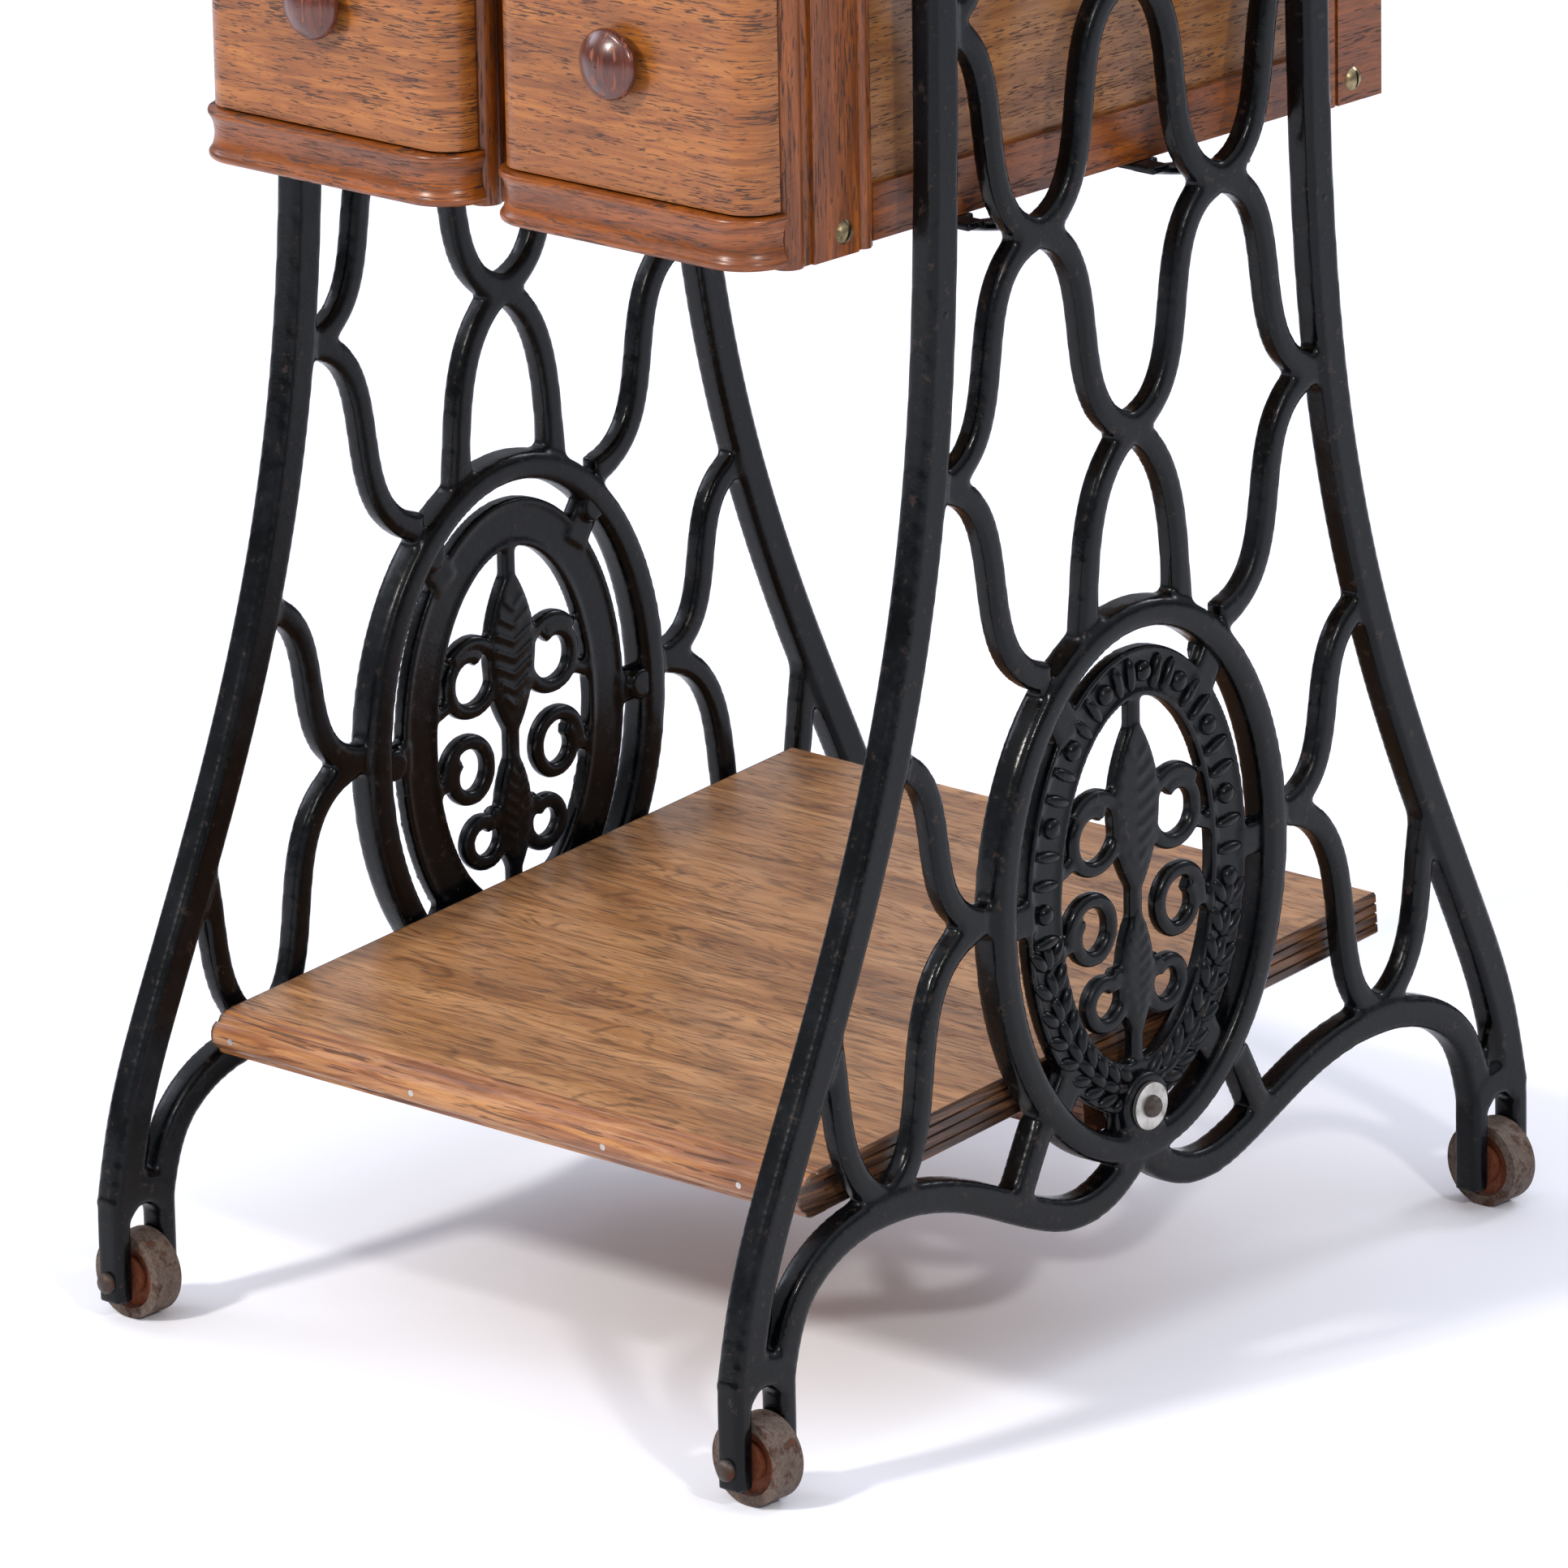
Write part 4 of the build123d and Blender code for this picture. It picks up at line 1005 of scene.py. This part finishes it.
    def fork(self, casting: Casting, half: int, x: float) -> None:
        """The fork over one caster: two cheeks joined over the wheel by an arch.

        Args:
            casting: what it is added to.
            half: -1 for the front leg, 1 for the back one.
            x: the casting's middle plane.
        """
        centre = half * self.foot_y
        cheek = (self.foot_half - self.fork_half) / 2 + self.fork_half
        width = self.foot_half - self.fork_half
        for sign in (-1, 1):
            shoulder = ((0.2, 50), (2.4, 60), (5.4, 72)) if sign == half else ((0.0, 50),)
            line = [(centre + sign * cheek, z) for z in (8.5, 20, 32, 42)]
            line += [(centre + sign * (cheek - lean), z) for lean, z in shoulder]
            casting.bar(line, width, self.leg_depth, self.corner, x=x)
        crown = [(centre - cheek, 45), (centre - cheek * 0.6, 50), (centre, 52),
                 (centre + cheek * 0.6, 50), (centre + cheek, 45)]
        casting.bar(through(crown, 6), 13.0, 12.1, 1.8, x=x)
        casting.bar([(centre - 6, 50), (centre, 66), (centre + 1, 74)], 12.0, 7.0, 1.6, x=x)

    def oval(self, casting: Casting, x: float) -> None:
        """The heavy oval ring, broader at its sides than at its top."""
        count = 96
        line, widths = [], []
        for i in range(count):
            angle = 2 * math.pi * i / count
            inner_y = self.ring_half_width - self.ring_side_width
            inner_z = self.ring_half_height - self.ring_top_width
            mid_y = (self.ring_half_width + inner_y) / 2
            mid_z = (self.ring_half_height + inner_z) / 2
            line.append((mid_y * math.cos(angle), self.ring_z + mid_z * math.sin(angle)))
            widths.append(11.0 + 1.5 * math.cos(angle) ** 2)
        even = lambda t: widths[min(count - 1, round(t * (count - 1)))] / 11.0
        casting.bar(line, self.ring_bar, self.ring_depth, 3.0, closed=True, swell=even, x=x)


@dataclass
class Medallion:
    """The oval ornament inside the ring: a beaded band, leaves and scrolls."""
    end: IronEnd
    half_width: float = 63.5
    half_height: float = 92.0
    band: float = 19.5
    depth: float = 5.6
    voxel: float = 1.1
    scrolls: tuple[tuple[float, ...], ...] = ((23, 24, 14, 1.25, 0.6), (26, -14, 12, 1.2, -0.4),
                                              (17, -44, 10, 1.1, 1.9))
    blades: tuple[tuple[float, ...], ...] = ((-4, 66, 27.0), (-62, 50, 19.0))
    veins: tuple[tuple[float, ...], ...] = ((2, 56, 10.5), (-58, -16, 7.0))
    stems: tuple[tuple[float, ...], ...] = ((34, 16, 47, 11), (35, -16, 45, -19))
    boss_radius: float = 6.5
    boss_height: float = 6.4
    bead_count: int = 26
    leaf_count: int = 9
    leaf_rows: tuple[tuple[float, float], ...] = ((5.2, 0.6), (-5.2, -0.6), (0.0, 0.0))

    def ellipse(self, inset: float, count: int = 120) -> list[Point2]:
        """Points round the medallion, a distance inside its edge."""
        a, b = self.half_width - inset, self.half_height - inset
        return [(a * c, self.end.ring_z + b * s) for c, s in unit_circle(count)]

    def build(self, iron: bpy.types.Material) -> None:
        """Fuse band, rims, lugs and ornament, then plant the beads and leaves on it."""
        x = self.end.side * self.end.plane_x
        casting = Casting()
        mid_band = self.ellipse(self.band / 2)
        casting.bar(mid_band, self.band, self.depth - 0.6, 1.2, closed=True, x=x)
        for inset in (1.2, self.band - 1.2):
            casting.bar(self.ellipse(inset), 2.6, self.depth + 1.2, 0.9, closed=True, x=x)
        self.lugs(casting, x)
        self.ornament(casting, x)
        made = casting.fuse(f"cast_medallion_{self.end.name()}", self.voxel, 3, 0.45)
        hang(made, "stand", f"iron_end_{self.end.name()}", finish=iron)
        self.relief(iron, x)

    def lugs(self, casting: Casting, x: float) -> None:
        """Six lugs from the band out to the ring, with round bosses on the inner side."""
        z0 = self.end.ring_z
        inner_x = x + -self.end.side * self.boss_height
        for half in (-1, 1):
            casting.bar([(half * 60, z0), (half * 76, z0)], 14.0, 7.0, 2.0, x=x)
            for up in (-1, 1):
                casting.bar([(half * 37, z0 + up * 66), (half * 49, z0 + up * 84)], 15.0, 7.0, 2.0, x=x)
                casting.drum(half * 46, z0 + up * 80, self.boss_radius, x, inner_x, 20)
            casting.drum(half * 71, z0, self.boss_radius, x, inner_x, 20)
        casting.bar([(0, z0 - 72), (0, z0 - 100)], 28.0, 6.0, 1.6, x=x)

    def ornament(self, casting: Casting, x: float) -> None:
        """A pointed leaf on a stem between two pairs of scrolls."""
        z0 = self.end.ring_z
        inner = self.half_height - self.band
        casting.bar([(0, z0 - inner - 3), (0, z0 + inner + 3)], 7.0, 5.6, 1.5, x=x)
        leaf = lambda t: max(0.12, math.sin(math.pi * min(1, max(0, t * 0.94 + 0.03))) ** 0.75)
        for start, length, wide in self.blades:
            line = [(0, z0 + start + length * i / 24) for i in range(25)]
            casting.bar(line, wide, 6.6, 1.6, swell=leaf, x=x)
        for low, high, reach in self.veins:
            for i in range(1, 8):
                z = z0 + low + (high - low) * i / 8
                out = reach * math.sin(math.pi * i / 8) ** 0.75
                for half in (-1, 1):
                    casting.bar([(0, z - 2), (half * out, z + 3)], 1.6, 7.8, 0.5, x=x)
        for half in (-1, 1):
            for cy, cz, r, turns, first in self.scrolls:
                line = []
                for i in range(49):
                    t = i / 48
                    angle = first + 2 * math.pi * turns * t
                    radius = r * (1 - 0.5 * max(0.0, t - 0.62) / 0.38 * 0.9)
                    line.append((half * (cy + radius * math.cos(angle)),
                                 z0 + cz + radius * math.sin(angle)))
                casting.bar(line, 6.4, 6.2, 1.8, x=x)
            for y0, up0, y1, up1 in self.stems:
                casting.bar([(half * y0, z0 + up0), (half * y1, z0 + up1)], 6.0, 5.6, 1.5, x=x)

    def along(self, dy: float, dz: float) -> float:
        """The turn that lays a copy's own X axis along a direction in the plane of the end."""
        return math.atan2(dy, -self.end.side * dz)

    def relief(self, iron: bpy.types.Material, x: float) -> None:
        """Raised beads and short bars on the upper band, and laurel leaves on the lower one."""
        side = self.end.side
        face_x = (x + side * (self.depth / 2 - 0.45)) * MM
        facing = (float(side), 0.0, 0.0)
        beads, leaves = [], []
        a, b = self.half_width - self.band / 2, self.half_height - self.band / 2
        for i in range(self.bead_count):
            angle = math.radians(-8 + 196 * i / (self.bead_count - 1))
            y, z = a * math.cos(angle), self.end.ring_z + b * math.sin(angle)
            outward = self.along(b * math.cos(angle), a * math.sin(angle))
            size = (2.1, 0.72, 1.0) if i % 3 else (1.25, 1.25, 1.1)
            beads.append(Spot((face_x, y * MM, z * MM), facing, outward, size))
        generator = random.Random(11)
        for half in (-1, 1):
            for i in range(self.leaf_count):
                angle = math.radians(-80 + 68 * i / (self.leaf_count - 1))
                for row, tilt in self.leaf_rows:
                    ra, rb = a + row, b + row
                    y, z = half * ra * math.cos(angle), self.end.ring_z + rb * math.sin(angle)
                    ty, tz = -a * math.sin(angle), b * math.cos(angle)
                    swing = -tilt + generator.uniform(-0.08, 0.08)
                    ly = half * (ty * math.cos(swing) - tz * math.sin(swing))
                    lz = ty * math.sin(swing) + tz * math.cos(swing)
                    leaves.append(Spot((face_x, y * MM, z * MM), facing, self.along(ly, lz)))
        bead = Planter(dome_shape("bead", 3.4 * MM, 2.6 * MM, 14, 4, 0.3), iron)
        blade = Planter(dome_shape("blade", 2.9 * MM, 2.8 * MM, 14, 5), iron)
        long_leaves = [Spot(s.place, s.facing, s.turn, (2.2, 1.0, 1.0)) for s in leaves]
        for piece in (bead.plant(f"medallion_beads_{self.end.name()}", beads),
                      blade.plant(f"medallion_leaves_{self.end.name()}", long_leaves)):
            hang(piece, "stand", angle=60)


# ---------------------------------------------------------------- treadle

@dataclass
class TreadleBoard:
    """The foot board and its moulded front edge, drawn level in millimetres and then tilted."""
    half_length: float = 153.5
    front_y: float = -180.0
    joint_y: float = -166.0
    back_y: float = 158.0
    under_z: float = 112.0
    top_z: float = 129.0
    pivot_z: float = 99.0
    tilt_degrees: float = 4.7
    groove: float = 0.9
    layer_joints: tuple[float, ...] = (116.2, 120.6, 124.6)

    def tilted(self, x: float, y: float, z: float) -> tuple[float, float, float]:
        """A level point turned to its place at rest, in millimetres."""
        a = math.radians(self.tilt_degrees)
        up = z - self.pivot_z
        return (x, y * math.cos(a) - up * math.sin(a), self.pivot_z + y * math.sin(a) + up * math.cos(a))

    def build(self, finishes: Finishes) -> None:
        """Build the board and the nosing on the treadle's body."""
        for made, node in ((self.board(finishes.treadle), "treadle_board"),
                           (self.nosing(finishes.nosing), "treadle_nosing")):
            point_outwards(made)
            hang(made, "treadle", node, 34)

    def board(self, oak: bpy.types.Material) -> bpy.types.Object:
        """A board with eased edges and the open joints of its layers along both ends."""
        half, g = self.half_length, self.groove
        rows = [(half - 0.8, self.under_z), (half, self.under_z + 0.8)]
        for z in self.layer_joints:
            rows += [(half, z - 0.5), (half - g, z - 0.15), (half - g, z + 0.15), (half, z + 0.5)]
        rows += [(half, self.top_z - 0.9), (half - 0.9, self.top_z)]
        section = rows + [(-x, z) for x, z in reversed(rows)]
        casting = Casting()
        spans = 12
        casting.loft([[self.tilted(x, self.joint_y + (self.back_y - self.joint_y) * i / spans, z)
                       for x, z in section] for i in range(spans + 1)])
        return mesh_object("oak_foot_board", casting.verts, casting.faces, oak)

    def nosing(self, oak: bpy.types.Material) -> bpy.types.Object:
        """A round nose with a quirk above it and a fine groove behind."""
        profile = [(-166, 112), (-174, 112), (-176, 113), (-176.6, 115), (-178.6, 116.2), (-179.7, 118.2),
                   (-180, 120.5), (-179.7, 122.8), (-178.6, 124.8), (-176.6, 126), (-175.7, 125.3),
                   (-175, 126.2), (-174.2, 127.5), (-171.4, 128.8), (-169.6, 128.6), (-169.0, 127.7),
                   (-168.4, 128.6), (-167.6, 129), (-166, 129)]
        casting = Casting()
        stations = [-self.half_length, -self.half_length + 0.5] + [
            -self.half_length + 0.5 + (2 * self.half_length - 1) * i / 24 for i in range(1, 24)] + [
            self.half_length - 0.5, self.half_length]
        rings = []
        for i, x in enumerate(stations):
            inset = 0.5 if i in (0, len(stations) - 1) else 0.0
            middle_y, middle_z = -172.0, 120.5
            ring = []
            for y, z in profile:
                shrink_y = inset if y < middle_y else 0.0
                ring.append(self.tilted(x, y + shrink_y, z + (inset if z < middle_z else -inset)))
            rings.append(ring)
        casting.loft(rings)
        return mesh_object("oak_nosing", casting.verts, casting.faces, oak)


# ---------------------------------------------------------------- drawer banks

@dataclass
class BankTrim:
    """The moulded base of each drawer bank and the iron leaves under it, in millimetres."""
    outer_x: float = 144.0
    inner_x: float = 7.0
    front_y: float = -187.0
    stile_y: float = -167.0
    back_y: float = -155.0
    stile: float = 12.0
    corner: float = 20.0
    low_z: float = 459.5
    height: float = 19.5
    bearer_ys: tuple[float, ...] = (-80.0, 25.0)
    bearer_half: float = 144.6
    bearer_width: float = 15.0
    bearer_thickness: float = 2.6
    leaf_x: float = 150.0
    leaf_length: float = 56.0
    leaf_drop_degrees: float = 9.0
    profile: tuple[tuple[float, float], ...] = (
        (0.0, 1.2), (0.03, 0.45), (0.08, 0.08), (0.13, 0.1), (0.17, 0.55), (0.21, 1.25), (0.32, 2.0),
        (0.5, 2.5), (0.68, 2.1), (0.8, 1.3), (0.85, 0.6), (0.89, 0.12), (0.94, 0.05), (0.98, 0.35),
        (1.0, 1.0))

    def build(self, finishes: Finishes) -> None:
        """Build both mouldings and both bearers on the stand."""
        for name, x0, x1 in (("left", -self.outer_x, -self.inner_x), ("right", self.inner_x, self.outer_x)):
            made = self.moulding(f"oak_base_moulding_{name}", x0, x1, finishes.moulding)
            hang(made, "stand", f"{name}_bank_base_moulding", 38)
        for name, y0 in zip(("front", "back"), self.bearer_ys):
            made = self.bearer(f"iron_bearer_{name}", y0)
            hang(made, "stand", f"bearer_{name}", finish=finishes.iron)

    def moulding(self, name: str, x0: float, x1: float, oak: bpy.types.Material) -> bpy.types.Object:
        """A thin bead, a broad shallow cove and a bead, bent round two corners.

        Args:
            name: the piece's name.
            x0: its left side.
            x1: its right side.
            oak: its finish.

        Returns:
            The moulding.
        """
        casting = Casting()
        rings = []
        for share, inset in self.profile:
            radius = self.corner - inset
            left, right = x0 + self.corner, x1 - self.corner
            middle = self.front_y + self.corner
            arc = [math.radians(90 * i / 14) for i in range(15)]
            ring = [(x0 + self.stile, self.back_y), (x0 + self.stile, self.stile_y)]
            ring += [(left - radius * math.cos(a), middle - radius * math.sin(a)) for a in arc]
            ring += [(left + (right - left) * i / 12, self.front_y + inset) for i in range(1, 12)]
            ring += [(right + radius * math.sin(a), middle - radius * math.cos(a)) for a in arc]
            ring += [(x1 - self.stile, self.stile_y), (x1 - self.stile, self.back_y)]
            z = self.low_z + self.height * share
            rings.append([(x, y, z) for x, y in ring])
        casting.loft(rings)
        made = mesh_object(name, casting.verts, casting.faces, oak)
        point_outwards(made)
        return made

    def bearer(self, name: str, y0: float) -> bpy.types.Object:
        """A flat strap whose two ends turn back as drooping, dished leaves.

        Args:
            name: the piece's name.
            y0: its front edge.

        Returns:
            The fused bearer.
        """
        casting = Casting()
        half, top = self.bearer_half, self.low_z - 0.3
        casting.block((-half, y0 + 0.3, top - self.bearer_thickness),
                      (half, y0 + self.bearer_width - 0.3, top))
        fall = math.radians(self.leaf_drop_degrees)
        spans, reach = 18, self.leaf_length - 1
        for side in (-1, 1):
            x = side * self.leaf_x
            casting.block((x - 6, y0 + 0.4, top - 3.0), (x + 4.2, y0 + 10, top))
            rings = []
            for i in range(spans + 1):
                t = i / spans
                y = y0 + 6 + reach * t
                z = top - 2.3 - reach * t * math.sin(fall) + 2.0 * max(0.0, t - 0.6) ** 2 / 0.16
                wide = 5.0 * math.sqrt(max(0.05, 1 - (1.9 * abs(t - 0.48)) ** 2.8 * 0.8))
                thick = 2.7 * math.sqrt(max(0.16, math.sin(math.pi * min(0.94, 0.14 + 0.82 * t))))
                if i == spans:
                    wide, thick = wide * 0.35, thick * 0.4
                rings.append([(x + wide * c, y, z + thick * s) for c, s in unit_circle(16)])
            casting.loft(rings)
        return casting.fuse(name, 0.8, 3, 0.5)


# ---------------------------------------------------------------- fixings

def slotted_button(name: str, radius: float, height: float, slot: float) -> bpy.types.Object:
    """A round-headed screw's head with its slot, standing on the XY plane.

    Args:
        name: its name.
        radius: of the head, in metres.
        height: of the dome, in metres.
        slot: width of the slot, in metres.

    Returns:
        The object.
    """
    edge = slot / 2
    inner = [edge, edge * 1.12]
    outer = [radius * f for f in (0.3, 0.5, 0.7, 0.84, 0.94, 0.985)]
    xs = [-v for v in reversed(inner + outer)] + inner + outer
    steps = [math.sin(math.pi / 2 * t / 7) for t in range(-7, 8)]
    depth = height * 0.55
    ball = (radius ** 2 + height ** 2) / (2 * height)
    top, base = [], []
    for x in xs:
        chord = math.sqrt(max(0.0, radius ** 2 - x * x))
        for t in steps:
            y = chord * t
            z = math.sqrt(max(0.0, ball ** 2 - x * x - y * y)) - (ball - height)
            if abs(x) <= edge * 1.01:
                z = min(z, max(0.0, height - depth))
            top.append((x, y, max(z, 0.0)))
            base.append((x, y, -0.0004))
    count = len(steps)
    verts, faces = top + base, []
    lift = len(top)
    for i in range(len(xs) - 1):
        for j in range(count - 1):
            a, b = i * count + j, (i + 1) * count + j
            faces.append((a, b, b + 1, a + 1))
            faces.append((lift + a, lift + a + 1, lift + b + 1, lift + b))
    rim = ([i * count for i in range(len(xs))] + [(len(xs) - 1) * count + j for j in range(1, count)]
           + [i * count + count - 1 for i in reversed(range(len(xs) - 1))]
           + [j for j in reversed(range(1, count - 1))])
    for a, b in zip(rim, rim[1:] + rim[:1]):
        faces.append((a, a + lift, b + lift, b))
    made = mesh_object(name, verts, faces)
    point_outwards(made)
    shade_smooth(made, 35)
    return made


@dataclass
class Fixings:
    """Screws, bolts and pins that show their heads, in millimetres."""
    iron_x: float = 162.0
    pivot_z: float = 99.0
    bank_edges: tuple[float, ...] = (-144.0, -7.0, 7.0, 144.0)
    edge_facings: tuple[float, ...] = (-1.0, 1.0, -1.0, 1.0)
    screw_rows: tuple[float, ...] = (-136.5, 155.0)
    screw_z: float = 466.5
    foot_y: float = 216.0
    wheel_z: float = 17.0
    bolt_face: float = 8.6
    plug_face: float = 5.7
    plug_y: float = 108.6
    plug_z: float = 433.0
    pin_profile: tuple[tuple[float, float], ...] = (
        (-16.6, 2.6), (-16.4, 2.9), (16.6, 2.9), (16.7, 4.1), (17.6, 4.3), (18.6, 4.1), (19.4, 3.4),
        (20.0, 2.3), (20.2, 1.0))

    def build(self, finishes: Finishes) -> None:
        """Build every set of heads on the stand."""
        self.brass_screws(finishes.brass)
        self.pivots(finishes.dark_steel)
        self.caster_pins(finishes.dark_steel)
        self.leg_plugs(finishes.iron)

    def brass_screws(self, brass: bpy.types.Material) -> None:
        """Slotted round-headed screws near the foot of each stile, each at its own turn."""
        generator = random.Random(5)
        planter = Planter(slotted_button("brass_head", 4.6 * MM, 2.3 * MM, 0.95 * MM), brass)
        spots = []
        for x, outward in zip(self.bank_edges, self.edge_facings):
            for y in self.screw_rows:
                turn = math.pi / 2 + generator.uniform(-0.35, 0.35)
                spots.append(Spot((x * MM, y * MM, self.screw_z * MM), (outward, 0.0, 0.0), turn))
        made = planter.plant("brass_screw_heads", spots)
        hang(made, "stand", "bank_screws", 32)

    def pivots(self, steel: bpy.types.Material) -> None:
        """Domed heads of the two bolts that the treadle rocks on."""
        planter = Planter(dome_shape("bolt_dome", 4.4 * MM, 3.4 * MM, 24, 7, 0.32), steel)
        spots = [Spot((side * (self.iron_x + self.bolt_face) * MM, 0.0, self.pivot_z * MM),
                      (float(side), 0.0, 0.0)) for side in (-1, 1)]
        made = planter.plant("pivot_bolt_heads", spots)
        hang(made, "stand", "pivot_bolts", 60)

    def caster_pins(self, steel: bpy.types.Material) -> None:
        """The four pins through the forks, each with its domed head outside."""
        casting = Casting()
        for x in (-self.iron_x, self.iron_x):
            for side in (-1, 1):
                rings = []
                for away, radius in self.pin_profile:
                    y = side * (self.foot_y + away)
                    rings.append([(x + radius * c, y, self.wheel_z + radius * s)
                                  for c, s in unit_circle(24)])
                casting.loft(rings)
        made = mesh_object("rusty_caster_pins", casting.verts, casting.faces, steel)
        point_outwards(made)
        hang(made, "stand", "caster_pins", 45)

    def leg_plugs(self, iron: bpy.types.Material) -> None:
        """Filed-off plugs in the outer faces of the legs."""
        planter = Planter(dome_shape("plug", 2.0 * MM, 0.35 * MM, 18, 3, 0.2), iron)
        spots = [Spot((side * (self.iron_x + self.plug_face) * MM, y * MM, self.plug_z * MM),
                      (float(side), 0.0, 0.0)) for side in (-1, 1) for y in (-self.plug_y, self.plug_y)]
        made = planter.plant("leg_plugs", spots)
        hang(made, "stand", angle=60)


# ---------------------------------------------------------------- studio

@dataclass(frozen=True)
class Studio:
    """White floor, soft lights and the camera."""
    camera_place: tuple[float, float, float] = (3.0011, -3.3044, 1.5889)
    yaw: float = -0.73993
    pitch: float = 0.30283
    roll: float = 0.019075
    lens_mm: float = 277.31
    sensor_mm: float = 36.0
    horizon: float = 0.16
    overhead: float = 1.2
    paper_half: float = 9.0

    def build(self, finishes: Finishes) -> None:
        """Build floor, world, lights and camera."""
        bpy.context.scene.view_settings.view_transform = "Standard"
        self.floor(finishes.paper)
        self.world()
        self.lights()
        self.camera()

    def floor(self, paper: bpy.types.Material) -> None:
        """A wide flat sheet of white paper on the floor."""
        half = self.paper_half
        made = mesh_object("floor_paper", [(-half, -half, 0), (half, -half, 0), (half, half, 0),
                                           (-half, half, 0)], [(0, 1, 2, 3)], paper)

    def world(self) -> None:
        """Pale light from all round, bright overhead and dim at eye height."""
        world = bpy.data.worlds.new("studio_fill")
        bpy.context.scene.world = world
        world.use_nodes = True
        tree = world.node_tree
        background = tree.nodes["Background"]
        sky = add(tree, "ShaderNodeTexCoord")
        parts = add(tree, "ShaderNodeSeparateXYZ", Vector=sky.outputs["Generated"])
        level = add(tree, "ShaderNodeMapRange", i0=parts.outputs[2], i1=0.0, i2=0.75, i3=self.horizon,
                    i4=self.overhead)
        background.inputs[0].default_value = srgb("#eef1fb")
        tree.links.new(level.outputs[0], background.inputs[1])

    def lights(self) -> None:
        """A key before the drawers and above, one from the right, and soft fill behind."""
        target = Vector((0, 0, 0.35))
        for name, place, size, power, colour in (
                ("key", (-0.7, -3.0, 2.5), 0.42, 84.0, "#fffaf3"),
                ("right_key", (3.0, -1.5, 2.2), 0.25, 44.0, "#fffbf6"),
                ("left_fill", (-2.6, -0.8, 1.8), 1.2, 16.0, "#e8eeff"),
                ("back_rim", (0.6, 2.9, 2.4), 1.0, 26.0, "#eef2ff")):
            data = bpy.data.lights.new(name, "AREA")
            data.shape = "DISK"
            data.size = size
            data.energy = power
            data.color = srgb(colour)[:3]
            lamp = bpy.data.objects.new(name, data)
            lamp.location = place
            lamp.rotation_euler = (target - Vector(place)).to_track_quat("-Z", "Y").to_euler()
            bpy.context.scene.collection.objects.link(lamp)

    def camera(self) -> None:
        """A long lens at eye height, front and right of the machine."""
        cos_p, sin_p = math.cos(self.pitch), math.sin(self.pitch)
        forward = Vector((math.sin(self.yaw) * cos_p, math.cos(self.yaw) * cos_p, -sin_p))
        level = Vector((math.cos(self.yaw), -math.sin(self.yaw), 0))
        down = forward.cross(level)
        right = math.cos(self.roll) * level + math.sin(self.roll) * down
        lower = -math.sin(self.roll) * level + math.cos(self.roll) * down
        turn = Matrix((right, -lower, -forward)).transposed().to_4x4()
        data = bpy.data.cameras.new("camera")
        data.sensor_width = self.sensor_mm
        data.lens = self.lens_mm
        data.clip_start = 0.05
        data.clip_end = 50
        made = bpy.data.objects.new("camera", data)
        made.matrix_world = Matrix.Translation(self.camera_place) @ turn
        bpy.context.scene.collection.objects.link(made)
        bpy.context.scene.camera = made


def main() -> None:
    """Build everything in order."""
    logging.basicConfig(level=logging.INFO, format="%(name)s: %(message)s")
    finishes = Finishes()
    finishes.dress_cad()
    LOG.info("finishes on %d carried-over nodes", len(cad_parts))
    for side in (-1, 1):
        IronEnd(side).build(finishes)
    BankTrim().build(finishes)
    TreadleBoard().build(finishes)
    Fixings().build(finishes)
    Studio().build(finishes)
    LOG.info("studio ready")


if __name__ == "__main__":
    main()
